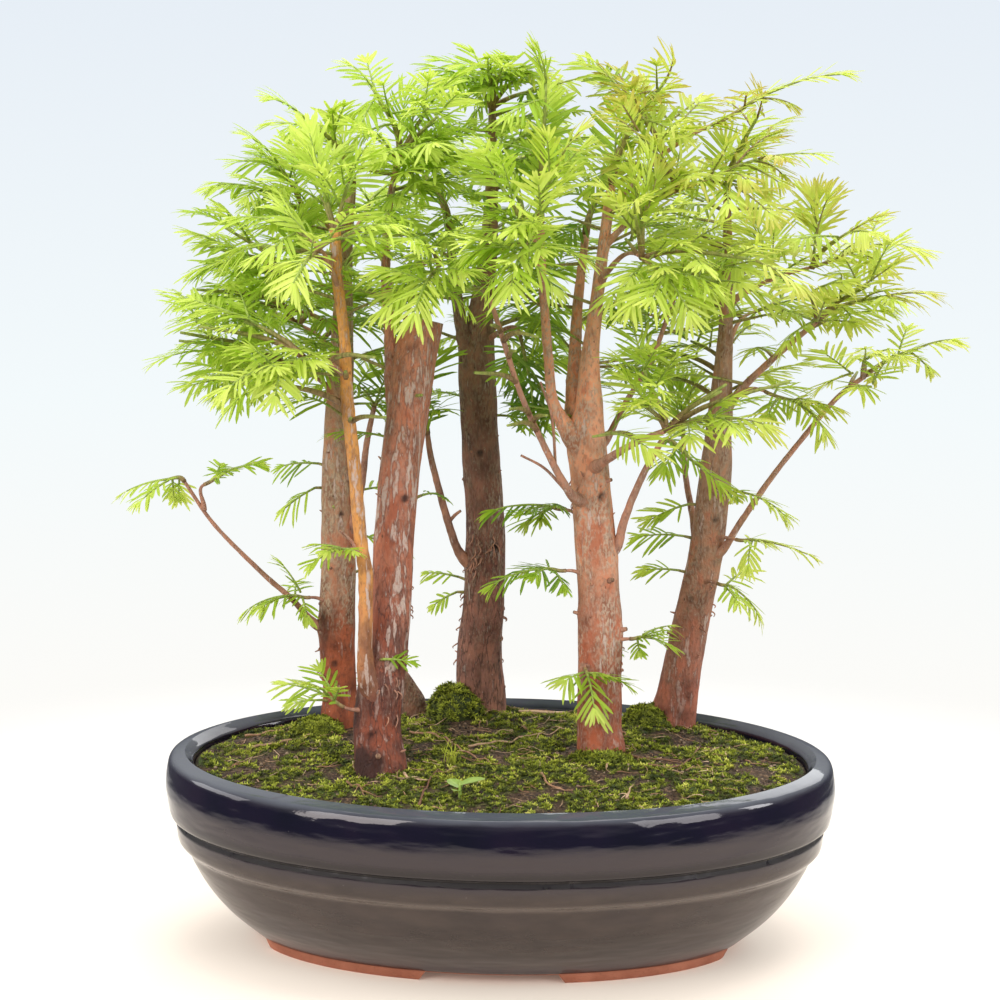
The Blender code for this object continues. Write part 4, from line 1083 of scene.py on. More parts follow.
def frond_frames(root, heading, face, length, droop, pairs):
    """Stations along a drooping frond: middle, direction, side and face of each."""
    side = heading.cross(face).normalized()
    above = side.cross(heading).normalized()
    steps = [FROND_BASE] + [(length - FROND_BASE) / (pairs + 0.5)] * pairs
    frames = [(root, heading, side, above)]
    here, ahead = root, heading
    for step in steps:
        turn = Matrix.Rotation(-droop * step / length, 3, side)
        ahead, above = turn @ ahead, turn @ above
        here = here + ahead * step
        frames.append((here, ahead, side, above))
    return frames


def needle_angle(along):
    """Angle in radians between a needle and its rib, from the frond's base to its tip."""
    return math.radians(70 - 36 * along)


def needle_share(along):
    """Length of a needle as a share of the longest, from the frond's base to its tip."""
    return 0.55 + 0.45 * math.sin(math.pi * min(1.0, 0.2 + 0.68 * along))


def frond_shape(frond, grow=1.0):
    """The solids' frond: a slim rib whose side faces are drawn out into needles."""
    root, heading, face, length, droop, pairs, needle = frond
    frames = frond_frames(root, heading, face, length, droop, pairs)
    points, faces = [], []
    for k, (here, _, side, above) in enumerate(frames):
        taper = (1 - 0.4 * k / len(frames)) * grow
        wide, thick = side * (RIB_WIDTH / 2 * taper), above * (RIB_THICKNESS / 2 * taper)
        points += [here - wide - thick, here + wide - thick, here + thick]
    faces.append((0, 1, 2))
    for k in range(len(frames) - 1):
        a, b = 3 * k, 3 * k + 3
        faces += [(a, b, b + 1), (a, b + 1, a + 1)]
        quads = ((1, (a + 1, a + 2, b + 2, b + 1)), (-1, (a, b, b + 2, a + 2)))
        if k == 0:
            faces += [quad for _, quad in quads]
            continue
        along = k / (len(frames) - 1)
        reach = needle * needle_share(along) * grow
        _, ahead, side, above = frames[k]
        middle = (frames[k][0] + frames[k + 1][0]) / 2
        for sign, quad in quads:
            out = side * (sign * math.sin(needle_angle(along))) + ahead * math.cos(needle_angle(along))
            points.append(middle + (out - above * NEEDLE_DROOP) * reach)
            tip = len(points) - 1
            faces += [(quad[i], quad[(i + 1) % 4], tip) for i in range(4)]
    here, ahead = frames[-1][:2]
    points.append(here + ahead * (needle * 0.7 * grow))
    end, tip = 3 * (len(frames) - 1), len(points) - 1
    faces += [(end, end + 1, tip), (end + 1, end + 2, tip), (end + 2, end, tip)]
    return points, faces


def twig_share(spray):
    """How much of a spray is its twig: least in the low shoots, most in the upright ones."""
    if (Vector(spray[4]) - Vector(spray[3])).normalized().z > STEEP:
        return STEEP_TWIG_SHARE
    return TWIG_SHARE if Vector(spray[4]).z > CROWN_FOOT else LOW_TWIG_SHARE


def twig_route(spray, plan, wobble, steps=TWIG_STEPS):
    """Rows of a spray's twig, and the direction in which it starts."""
    start, tip = Vector(spray[3]), Vector(spray[4])
    heading, branch, radius = plan
    first = start + heading * (0.0 if branch else TOUCH_GAP)
    length = (tip - start).length
    end = start.lerp(tip, twig_share(spray)) + UP * (0.05 * length) + wobble
    curve = bend(first, heading, end, (tip - end).normalized(), steps)
    return rows_of(curve, radius, TWIG_RADIUS * 0.75), heading


def turned(heading, turn, lift):
    """A direction turned sideways and then lifted, both in degrees."""
    flat = Matrix.Rotation(math.radians(turn), 3, "Z") @ heading
    return (flat.normalized() + UP * math.tan(math.radians(lift))).normalized()


def side_heading(heading, k):
    """Where side frond k points: left and right by turns, or all round an upright twig."""
    if heading.z > STEEP:
        return Matrix.Rotation(math.radians(ROUND_TURN * k), 3, "Z") @ Vector((0, -1, 0))
    return Matrix.Rotation(math.radians(SIDE_TURN * (-1) ** k), 3, "Z") @ heading


def hides_wood(root, tip, spots):
    """Whether a frond from root to tip hides one of the spots of bare wood."""
    for share in ROOM_SHARES:
        place = root.lerp(tip, share)
        for (x, z), (wide, tall), back in spots:
            if place.y < back and abs(place.x - x) < wide and abs(place.z - z) < tall:
                return True
    return False


def has_room(choice):
    """Whether a frond stays within the rounded crown and leaves the bare wood in view."""
    root, heading, _, length = choice[:4]
    tip = root + heading * length
    if tip.z < CROWN_FOOT:
        return True
    if sum(((tip[k] - CROWN_MIDDLE[k]) / CROWN_RADII[k]) ** 2 for k in range(3)) > 1:
        return False
    return not hides_wood(root, tip, BARE_WOOD)


def frond_choices(spray, rows, rng):
    """For each frond of a spray, tries of its root, heading, face, length, droop, pairs and needle."""
    tip, count, length, needle = Vector(spray[4]), spray[5], spray[6], spray[7]
    places = [(len(rows) - 1.0, None, (tip - rows[-1].to_3d()).length * 0.92)]
    for k in range(count):
        places.append(((len(rows) - 1) * (0.12 + 0.84 * (k + 0.5) / count), k, length))
    for place, k, size in places:
        low = min(int(place), len(rows) - 2)
        root = rows[low].lerp(rows[low + 1], place - low).to_3d()
        at_tip = k is None
        heading = (tip - root if at_tip else (rows[low + 1] - rows[low]).to_3d()).normalized()
        above = Vector((1, 0.3, 0)) if at_tip and heading.z > STEEP else UP
        if not at_tip:
            heading = side_heading(heading, k)
        tries = []
        for attempt in range(FROND_TRIES):
            loose = (6 if at_tip else 24) + 2.2 * attempt
            shrink = 1 - 0.02 * attempt
            aimed = turned(heading, rng.uniform(-loose, loose), 9 + rng.uniform(-loose, loose) * 0.8)
            face = above + Vector((rng.uniform(-0.35, 0.35), rng.uniform(-0.45, 0.25), 0))
            span = max(size, 12) * shrink * rng.uniform(0.86, 1.0)
            pairs = max(FEWEST_PAIRS, round((span - FROND_BASE) / NEEDLE_PITCH))
            droop = math.radians(26 + rng.uniform(-8, 14))
            tries.append((root, aimed, face, span, droop, pairs, needle * shrink))
        yield tries if at_tip else [choice for choice in tries if has_room(choice)]


def along_frond(frond, share):
    """The place at a share of a frond's length, as if it were straight."""
    return frond[0] + frond[1] * (share * frond[3])


def into_the_open(tries, middles):
    """Tries with those first that lie furthest from the middles of the fronds that have grown."""

    def crowding(choice):
        place = along_frond(choice, 0.7)
        return -min([(place - middle).length for middle in middles], default=0.0)

    return sorted(tries, key=crowding)


def tree_of(shape):
    """A search tree over the triangles of points and faces."""
    points, faces = shape
    return BVHTree.FromPolygons([Vector(p) for p in points], faces)


def first_clear(tries, make, taken):
    """The first try whose shape crosses nothing that is taken, with the shape's search tree."""
    for choice in tries:
        found = tree_of(make(choice))
        if not any(found.overlap(other) for other in taken):
            return choice, found
    return None, None


def plan_foliage(plans, wood):
    """Wobble of every twig and the fronds of every spray, each bent clear as in the solids."""
    rng = random.Random(SEED)
    wobbles, twig_trees = [], []
    for spray, plan in zip(SPRAYS, plans):
        tries = [Vector([rng.uniform(-1, 1) for _ in range(3)]) * (1.3 * k) for k in range(FROND_TRIES)]

        def wide_twig(wobble):
            rows, heading = twig_route(spray, plan, wobble)
            wider = [row + Vector((0, 0, 0, 0.5)) for row in rows[1:]]
            return tube(rows[:1] + wider, TWIG_SIDES, leave=heading)

        wobble, found = first_clear(tries, wide_twig, wood + twig_trees)
        wobbles.append(wobble)
        twig_trees.append(found)
    grown, middles, fronds = [], [], [[] for _ in SPRAYS]
    choices = []
    for spray, plan, wobble in zip(SPRAYS, plans, wobbles):
        choices.append(list(frond_choices(spray, twig_route(spray, plan, wobble)[0], rng)))
    for turn in range(max(len(found) for found in choices)):
        for index, found in enumerate(choices):
            if turn >= len(found):
                continue
            taken = wood + twig_trees[:index] + twig_trees[index + 1 :] + grown
            tries = into_the_open(found[turn], middles) if turn else found[turn]
            frond, shape = first_clear(tries, lambda choice: frond_shape(choice, CLEARANCE), taken)
            if frond:
                fronds[index].append(frond)
                middles.append(along_frond(frond, 0.7))
                grown.append(shape)
    return wobbles, fronds


def blades(parts, base, out, above, length, width, curl, tint, bronze):
    """Many folded needles at once: arrays of their roots, directions, faces, sizes and colours."""
    side = np.cross(out, above)
    side /= np.linalg.norm(side, axis=1, keepdims=True)
    s = LEAF_STATIONS[None, :, None]
    middle = base[:, None] + out[:, None] * (length[:, None, None] * s)
    middle = middle - above[:, None] * ((curl * length)[:, None, None] * s**2)
    half = side[:, None] * (width[:, None] * LEAF_WIDTHS[None])[:, :, None] / 2
    lift = above[:, None] * (width[:, None] * LEAF_WIDTHS[None])[:, :, None] * 0.14
    points = np.stack([middle - half + lift, middle, middle + half + lift], axis=2)
    stations = len(LEAF_STATIONS)
    quads = []
    for k in range(stations - 1):
        for column in range(2):
            a = 3 * k + column
            quads.append((a, a + 1, a + 4, a + 3))
    firsts = np.arange(len(base)) * 3 * stations
    faces = (firsts[:, None, None] + np.array(quads)[None]).reshape(-1, 4)
    each = np.ones((len(base), stations, 3))
    parts.add(
        points,
        faces,
        tint=(each * tint[:, None, None]).ravel(),
        bronze=(each * bronze[:, None, None] * s).ravel(),
        vein=(each * np.array((0, 1, 0))).ravel(),
    )


def leaf_tint_and_light(place):
    """How yellow and light the needles are at a place: most at the top and on the outside, partly the
    colour of young growth and partly painted light, with painted shade deep in the crown and towards the
    back.
    """
    top = (place.z - 235) / 150 if place.z > CROWN_FOOT else 0.4
    out = math.hypot((place.x - 15) / 150, (place.y - 5) / 95)
    # Lighter towards the front and darker towards the back: painted light and shade.
    front = -place.y / 220
    right = 0.16 * clamp((place.x - 40) / 80)
    return 0.19 + 0.38 * clamp(top, -0.3, 1.1) + 0.46 * max(0.0, out - 0.22) + 0.2 * front + right


def needle_rows(frames, needle, rng, tint, spread):
    """Roots, directions, faces, lengths and tints, which carry painted light and shade, of the needles
    along a rib, in two loose rows.
    """
    rows = []
    sag = rng.uniform(-0.2, 0.26)
    for k in range(1, len(frames)):
        here, ahead, side, above = frames[k]
        along = (k - 0.5) / (len(frames) - 1)
        for sign in (1, -1):
            angle = needle_angle(along) * spread + math.radians(rng.uniform(-9, 9))
            out = side * (sign * math.sin(angle)) + ahead * math.cos(angle)
            out = (out - above * (sag + rng.uniform(-0.16, 0.16))).normalized()
            reach = needle * needle_share(along) * rng.uniform(0.78, 1.16)
            rows.append((here + ahead * rng.uniform(-1.0, 1.0), out, above, reach, tint + 0.3 * along**2))
    return rows


def add_needles(parts, rows, rng, bronze):
    """The blades of many needles from their rows."""
    count = len(rows)
    tilts = np.array([rng.uniform(-0.3, 0.3) for _ in range(count)])[:, None]
    out = np.array([row[1] for row in rows])
    above = np.array([row[2] for row in rows])
    above = above - out * np.sum(out * above, axis=1)[:, None]
    above = above + np.cross(out, above) * tilts
    length = np.array([row[3] for row in rows])
    blades(
        parts,
        np.array([row[0] for row in rows]),
        out - above * 0.03,
        above,
        length,
        (LEAF_WIDTH + LEAF_WIDENING * length) * np.array([rng.uniform(0.85, 1.15) for _ in range(count)]),
        np.array([rng.uniform(0.02, 0.36) for _ in range(count)]),
        np.array([row[4] for row in rows]) + np.array([rng.uniform(-0.09, 0.09) for _ in range(count)]),
        np.full(count, bronze),
    )


def fine_frond(parts, frond, rng):
    """One leafy frond: a thin rib with close, curved needles in two rows and a tuft at its tip."""
    root, heading, face, length, droop, _, needle = frond
    needle = 1.08 * needle * (1 - 0.18 * clamp((root.z - 310) / 90))
    pitch = LEAF_PITCH if root.z > CROWN_FOOT else LOW_LEAF_PITCH
    pairs = max(4, round((length - FROND_BASE) / pitch))
    frames = frond_frames(root, heading, face, length, droop, pairs)
    ribs = [Vector((*here, 0.6 - 0.36 * k / len(frames))) for k, (here, _, _, _) in enumerate(frames)]
    # The tint holds painted light and shade for the frond's place in the crown.
    tint = leaf_tint_and_light(frames[-1][0]) + rng.uniform(-0.16, 0.16)
    tip = frames[-1][0]
    right_side = clamp((tip.x + 5) / 45)
    bronze = 0.75 * right_side * max(0.0, (tip.z - 318) / 70) + 0.45 * max(0.0, (tip.x - 20) / 120)
    bronze = min(0.95, bronze * rng.uniform(0.1, 1.1))
    add_tube(parts, ribs, RIB_SIDES, 1, plain_swell, wood=bronze)
    rows = needle_rows(frames, needle, rng, tint, rng.uniform(0.62, 0.95))
    here, ahead, side, above = frames[-1]
    for spread in TIP_LEAVES:
        angle = math.radians(spread + rng.uniform(-5, 5))
        out = side * math.sin(angle) + ahead * math.cos(angle)
        rows.append((here, out, above, needle * rng.uniform(0.5, 0.72), tint + 0.36))
    add_needles(parts, rows, rng, bronze)


def twig_needles(parts, rows, needle, rng):
    """Needles in two rows along a young twig, which is as leafy as its fronds."""
    frames = []
    length = sum((b - a).to_3d().length for a, b in zip(rows, rows[1:]))
    count = max(2, round(length / LEAF_PITCH))
    for k in range(count + 1):
        here, ahead = place_on(rows, 0.12 + 0.86 * k / count)
        side = ahead.cross(UP).normalized()
        frames.append((here, ahead, side, side.cross(ahead)))
    # The tint holds painted light and shade for the twig's place in the crown.
    tint = leaf_tint_and_light(rows[-1].to_3d()) + rng.uniform(-0.12, 0.1)
    add_needles(parts, needle_rows(frames, needle * 0.9, rng, tint, 0.95), rng, 0.0)


def place_on(rows, share):
    """A place and direction at a share of the way along rows."""
    at = share * (len(rows) - 1)
    low = min(int(at), len(rows) - 2)
    ahead = (rows[low + 1] - rows[low]).to_3d().normalized()
    return rows[low].lerp(rows[low + 1], at - low).to_3d(), ahead


def in_outline(choice):
    """Whether an extra frond keeps to the photograph's outline and leaves more bare wood in view."""
    root, heading, _, length = choice[:4]
    tip = root + heading * length
    if tip.z < CROWN_FOOT:
        return True
    left, right, across, tall = DOME_SIZES
    x, y, z = tip - Vector(DOME)
    if (x / (left if x < 0 else right)) ** 2 + (y / across) ** 2 + (z / tall) ** 2 > 1:
        return False
    if tip.z < DOME_FOOT + 0.3 * max(0.0, abs(x) - 55):
        return False
    return not hides_wood(root, tip, MORE_BARE_WOOD)


def extra_frond(root, aimed, size, needle, rng, wood):
    """A frond for the inside of the crown, turned until it is clear of the wood."""
    small = 1 - 0.3 * clamp((root.z - 300) / 90)
    tries = []
    for k in range(8):
        loose = 0.12 * k
        away = aimed + Vector([rng.uniform(-loose, loose) for _ in range(3)])
        face = UP + Vector((rng.uniform(-0.4, 0.4), rng.uniform(-0.45, 0.3), 0))
        span = size * small * rng.uniform(0.72, 1.1) * (1 - 0.03 * k)
        pairs = max(3, round((span - FROND_BASE) / NEEDLE_PITCH))
        droop = math.radians((20 if root.x < AIRY_FROM - 30 else 6) + rng.uniform(-14, 18))
        tries.append((root + away.normalized() * 2.2, away.normalized(), face, span, droop, pairs, needle))
    kept = [frond for frond in tries if has_room(frond) and in_outline(frond)]
    return first_clear(kept, frond_shape, wood)[0]


def fill_fronds(spray, branch, rows, rng, wood):
    """More fronds along a spray's own branch and twig, on both sides."""
    length, needle = spray[6], spray[7]
    found = []
    spans = [(rows, (0.1, 0.5, 0.9) if spray[5] > 3 else (0.3, 0.75))]
    if branch and spray[5] > 3:
        spans.append((branch, (0.5, 0.64, 0.78, 0.92)))
    for route, shares in spans:
        for k, share in enumerate(shares):
            root, heading = place_on(route, share)
            if root.x > AIRY_FROM and rng.random() < AIRY_SHARE:
                continue
            turn = (48 + rng.uniform(-12, 14)) * (-1) ** (k + (route is rows))
            aimed = turned(heading, turn, 4 + rng.uniform(-16, 20))
            frond = extra_frond(root, aimed, length, needle, rng, wood)
            if frond:
                found.append(frond)
    return found


def leader_shoots(route, rng, wood):
    """Fronds that grow straight from a leader, a turn round it for each next one: root and frond."""
    turn = rng.uniform(0, 360)
    rise = max(route[0].z + 14, LEADER_SHOOT_FROM)
    while rise < route[-1].z - 2:
        turn += ROUND_TURN
        root = at_height(route, rise)
        aimed = towards(turn, rng.uniform(0.0, 0.5)).normalized()
        if aimed.y >= -0.35 or rise >= 300:
            reach = rng.uniform(4, 16)
            frond = extra_frond(root + aimed * reach, aimed, SHOOT_LENGTH, SHOOT_NEEDLE, rng, wood)
            if frond:
                yield root, frond
        rise += LEADER_SHOOT_STEP


def small_shoot(trunk, height, facing, way, lift, length, needle):
    """A small shoot on a trunk: its root and frond."""
    root = on_bark(trunk, height, towards(facing))
    heading = turned(Vector((1, 0, 0)), way, lift)
    out = towards(facing, 0.3) * 1.5
    face = (UP + Vector((0, -0.5, 0))).normalized()
    return root - out, (root + out + heading * 2, heading, face, length, math.radians(25), 4, needle)


def inner_shoots(routes, rng, wood):
    """Fronds on the leaders, on the trunks and at bare ends, by tree: root and frond of each."""
    found = {tree: [] for tree in WOOD}
    for (tree, _), route in routes.items():
        if route[-1].z >= LEADER_TOP:
            found[tree] += leader_shoots(route, rng, wood)
    for tree, *shoot in SMALL_SHOOTS:
        found[tree].append(small_shoot(routes[tree, "trunk"], *shoot))
    for tree, part in BARE_ENDS:
        root, ahead = place_on(routes[tree, part], 1.0)
        for turn in (-46, 0, 44):
            frond = extra_frond(root, turned(ahead, turn, -20), 24, 13, rng, wood)
            if frond:
                found[tree].append((root, frond))
    return found


def crown_targets(rng, middles):
    """Tips for more shoots: the places in the crown's outer part that lie furthest from other fronds."""
    kept = list(middles)
    found = []
    while len(found) < SHOOTS:
        places = []
        for _ in range(SHOOT_TRIES):
            turn, rise = rng.uniform(0, TURN), 1 - 1.36 * rng.random() ** 1.4
            flat = math.sqrt(1 - rise * rise)
            out = (flat * math.cos(turn), flat * math.sin(turn), rise)
            share = rng.uniform(0.58, 0.97)
            place = Vector([CROWN_MIDDLE[a] + CROWN_RADII[a] * share * out[a] for a in range(3)])
            if place.x < 62 or rng.random() < 0.22:
                places.append(place)
        place = max(places, key=lambda tried: min((tried - other).length for other in kept))
        found.append(place)
        kept.append(place + (Vector(CROWN_MIDDLE) - place).normalized() * 10)
    return found


def crown_shoots(routes, fine_plans, middles, rng, wood):
    """Twigs with fronds between the sprays, each grown from the nearest wood, by tree."""
    holds = []
    for (tree, _), route in routes.items():
        holds += [(tree, row) for row in route[::2] if row.z > 225]
    for spray, (_, branch, _) in zip(SPRAYS, fine_plans):
        if branch and spray[5] >= 4:
            holds += [(spray[0], row) for row in branch[8:]]
    found = {tree: [] for tree in WOOD}
    for target in crown_targets(rng, middles):
        away = []
        for k, (_, row) in enumerate(holds):
            away.append(((row.to_3d() - target).length + max(0.0, row.z + 12 - target.z) * 1.4, k))
        tree, root = holds[min(away)[1]]
        root = root.to_3d()
        heading = target - root
        reach = heading.length
        heading = (heading.normalized() - UP * 0.1).normalized()
        end = root + (target - root) * max(0.3, (reach - 24) / reach)
        outwards = (heading + UP * 0.5).normalized()
        twig = rows_of(bend(root, outwards, end, heading, 9), min(1.5, 0.8 + reach * 0.01), 0.6)
        fronds = []
        for k, share in enumerate((1.0, 0.84, 0.66, 0.46)):
            turn = 0 if k == 0 else (50 + rng.uniform(-14, 14)) * (-1) ** k
            here, ahead = place_on(twig, share)
            aimed = turned(ahead, turn, 2 + rng.uniform(-14, 18))
            frond = extra_frond(here, aimed, SHOOT_LENGTH, SHOOT_NEEDLE, rng, wood)
            if frond:
                fronds.append(frond)
        found[tree].append((twig, fronds))
    return found


def woody_swell(knots=(), collars=()):
    """The radius of a fine trunk: the solid's form with ridges, knots and collars."""

    def swell(row, angle, out):
        radius = row.w * (1 + BARK_RIPPLE * math.sin(3 * angle + 0.02 * row.z))
        place = row.to_3d() + out * radius
        ridge = noise.noise(Vector((place.x / 2.3, place.y / 2.3, place.z / 30)))
        lump = noise.noise(place / 13)
        shred = noise.noise(Vector((place.x / 0.9, place.y / 0.9, place.z / 8)))
        depth = min(1.0, row.w / 8)
        radius += depth * (0.3 * ridge + 0.35 * lump + 0.16 * shred)
        for middle, size in knots:
            away = (place - middle).length / size
            if away < 3:
                ring = 0.3 * math.exp(-(((away - 1) / 0.4) ** 2))
                radius += size * (ring - 0.45 * math.exp(-((away / 0.55) ** 2)))
        for middle, size in collars:
            away = (place - middle).length / size
            if away < 4:
                radius += 0.42 * size * math.exp(-((away / 1.5) ** 2))
        return radius

    return swell


def collared(rows, buried, collar, slim):
    """Slim branch rows that widen by the collar's share where they leave a trunk of the given radius."""
    done, length = [], 0.0
    for k, row in enumerate(rows):
        if k:
            length += (row - rows[k - 1]).to_3d().length
        out = max(0.0, length - buried)
        flare = 1 + collar * math.exp(-((out / (2.4 * rows[0].w)) ** 2))
        done.append(Vector((*row.to_3d(), row.w * slim * flare)))
    return done


def branch_swell(row, angle, out):
    """The radius of a fine branch, with small lumps."""
    place = row.to_3d() + out * row.w
    return row.w * (1 + 0.1 * noise.noise(place / 4) + 0.06 * noise.noise(place / 1.5))


def plain_swell(row, angle, out):
    """The radius of a round stem."""
    return row.w


def add_tube(parts, rows, sides, slot=0, swell=branch_swell, leave=None, arrive=None, **values):
    """Add a closed tube along rows to a piece, with one value for each of its points or for all."""
    points, faces = skin_over(tube_rings(rows, sides, swell, leave, arrive))
    parts.add(points, faces, slot, **values)


def stalk(start, end, count, first_radius, last_radius):
    """Rows of a straight stalk in count pieces."""
    return rows_of([start.lerp(end, k / count) for k in range(count + 1)], first_radius, last_radius)


def painted(tree, trunk, points, kind):
    """The value of a kind of patch at each point of a trunk."""
    found = np.zeros(len(points))
    for owner, height, facing, wide, tall, *amounts in PATCHES:
        if owner == tree and amounts[kind]:
            middle = np.array(on_bark(trunk, height, towards(facing)))
            away = (np.array(points) - middle) / np.array((wide, wide, tall))
            found = np.maximum(found, amounts[kind] * np.exp(-np.sum(away**2, axis=1)))
    return found


def loose_fibre(trunk, height, facing, length, rng):
    """Rows of a thin strip of bark that hangs and curls away from a trunk."""
    out = towards(facing)
    along = UP.cross(out)
    root = at_height(trunk, height) + out * (radius_at(trunk, height) - 0.2)
    lift, drift, curl = rng.uniform(0.5, 1.6), rng.uniform(-0.5, 0.5), rng.uniform(0.2, 1.2)
    rows = []
    for k in range(9):
        s = k / 8
        fall = -length * s + 0.3 * length * s * s * curl
        here = root + out * (lift * (math.sin(2.6 * s) + 0.6 * s)) + UP * fall
        here = here + along * (drift * length * s + curl * math.sin(5 * s))
        rows.append(Vector((*here, 0.46 * (1 - 0.6 * s))))
    return rows


def trunk_trifles(tree, trunk, rng):
    """Rows of the small things on a trunk: bare twigs, loose fibres and stubby spurs."""
    found = []
    for owner, start, end, radius in LITTLE_TWIGS:
        if owner == tree:
            start, end = Vector(start), Vector(end)
            bow = (end - start).length * 0.08
            middle = (start + end) / 2 + Vector((rng.uniform(-bow, bow), rng.uniform(-bow, bow), bow))
            bent = ((*start, radius), (*middle, radius * 0.85), (*end, radius * 0.7))
            found.append(smooth_route(bent, FINE_STEP))
    for owner, height, facing, spread, rise, count, longest in FIBRES:
        if owner == tree:
            for _ in range(count):
                at = height + rng.uniform(-rise, rise)
                way = facing + rng.uniform(-spread, spread)
                found.append(loose_fibre(trunk, at, way, rng.uniform(0.45, 1.0) * longest, rng))
    for _ in range(SPURS):
        height = rng.uniform(trunk[0].z + 32, SPUR_TOP)
        out = level(rng.uniform(0, TURN), rng.uniform(0.2, 0.9))
        root = at_height(trunk, height) + out * (radius_at(trunk, height) * 0.8)
        reach, radius = rng.uniform(2.2, 4.0), rng.uniform(0.5, 0.9)
        curve = [root, root + out * (0.6 * reach), root + out * reach]
        found.append(rows_of(curve, radius * 1.3, radius * 0.4))
    return found


def fine_limbs(tree, fine, plans):
    """What grows on a trunk: rows, sides, material, arrival, collar and slimness of each limb."""
    trunk = fine[tree, "trunk"]
    limbs = []
    for part in WOOD[tree]:
        if part != "trunk":
            route = fine[tree, part]
            slot = 2 if part == "young_stem" else (0 if route[0].w > 4.5 else 1)
            sides = FINE_LEADER_SIDES if route[0].w > 3 else FINE_BRANCH_SIDES
            slim = SLIM_LOW if (tree, part) == ("tree_1", "low_branch") else SLIM
            limbs.append((route, sides, slot, None, 0.4, slim))
    for spray, (heading, branch, _) in zip(SPRAYS, plans):
        if spray[0] == tree and branch:
            collar = 0.4 if spray[1] == "trunk" else 0.1
            limbs.append((branch, FINE_BRANCH_SIDES, 1, heading, collar, SLIM_TWIG))
    for owner, height, facing, length, radius in STUBS:
        if owner == tree:
            root = at_height(trunk, height)
            tip = root + towards(facing, STUB_RISE) * length
            rows = stalk(root, tip, 8, radius * 0.95, radius * 0.45)
            limbs.append((rows, FINE_BRANCH_SIDES, 1, None, 0.1, SLIM))
    for rows in trunk_trifles(tree, trunk, random.Random(SEED + 20 + int(tree[-1]))):
        limbs.append((rows, SHOOT_SIDES, 1, None, 0.0, SLIM))
    return limbs


def make_tree(tree, fine, plans, finishes):
    """One tree's wood, with its own bark on the trunk and younger bark on the branches."""
    parts = Parts("scar", "peel", "red")
    trunk = fine[tree, "trunk"]
    limbs = fine_limbs(tree, fine, plans)
    knots, collars = [], []
    for owner, height, facing, size in KNOTS:
        if owner == tree:
            knots.append((on_bark(trunk, height, towards(facing)), size))
    for rows, *_ in limbs:
        out = (rows[min(6, len(rows) - 1)] - rows[0]).to_3d().normalized()
        size = radius_at(trunk, rows[0].z)
        if 1.2 < rows[0].w < 4.5 and (at_height(trunk, rows[0].z) - rows[0].to_3d()).length < size:
            collars.append((rows[0].to_3d() + out * size, rows[0].w))
    points, faces = skin_over(tube_rings(trunk, FINE_TRUNK_SIDES, woody_swell(knots, collars)))
    scars = []
    for p in points:
        near = [math.exp(-(((p - middle).length / size) ** 2)) for middle, size in knots]
        scars.append(max(near, default=0.0))
    dark, peel, red = [painted(tree, trunk, points, kind) for kind in range(3)]
    parts.add(points, faces, 0, scar=np.maximum(scars, dark), peel=peel, red=red)
    parts.slots[-1] = 3
    for rows, sides, slot, arrive, collar, slim in limbs:
        size = radius_at(trunk, rows[0].z)
        on_trunk = (at_height(trunk, rows[0].z) - rows[0].to_3d()).length < size
        turns = np.arange(len(rows) * sides) % sides * 360.0 / sides
        band = np.exp(-(((turns - 292) / 30) ** 2)) if slot == 2 else 0.0
        flared = collared(rows, size if on_trunk else 2.5, collar, slim)
        add_tube(parts, flared, sides, slot, arrive=arrive, peel=band)
        parts.slots[-1] = 3 if slot != 0 else 0
    return add_piece(tree, parts, finishes, "bark", tree)


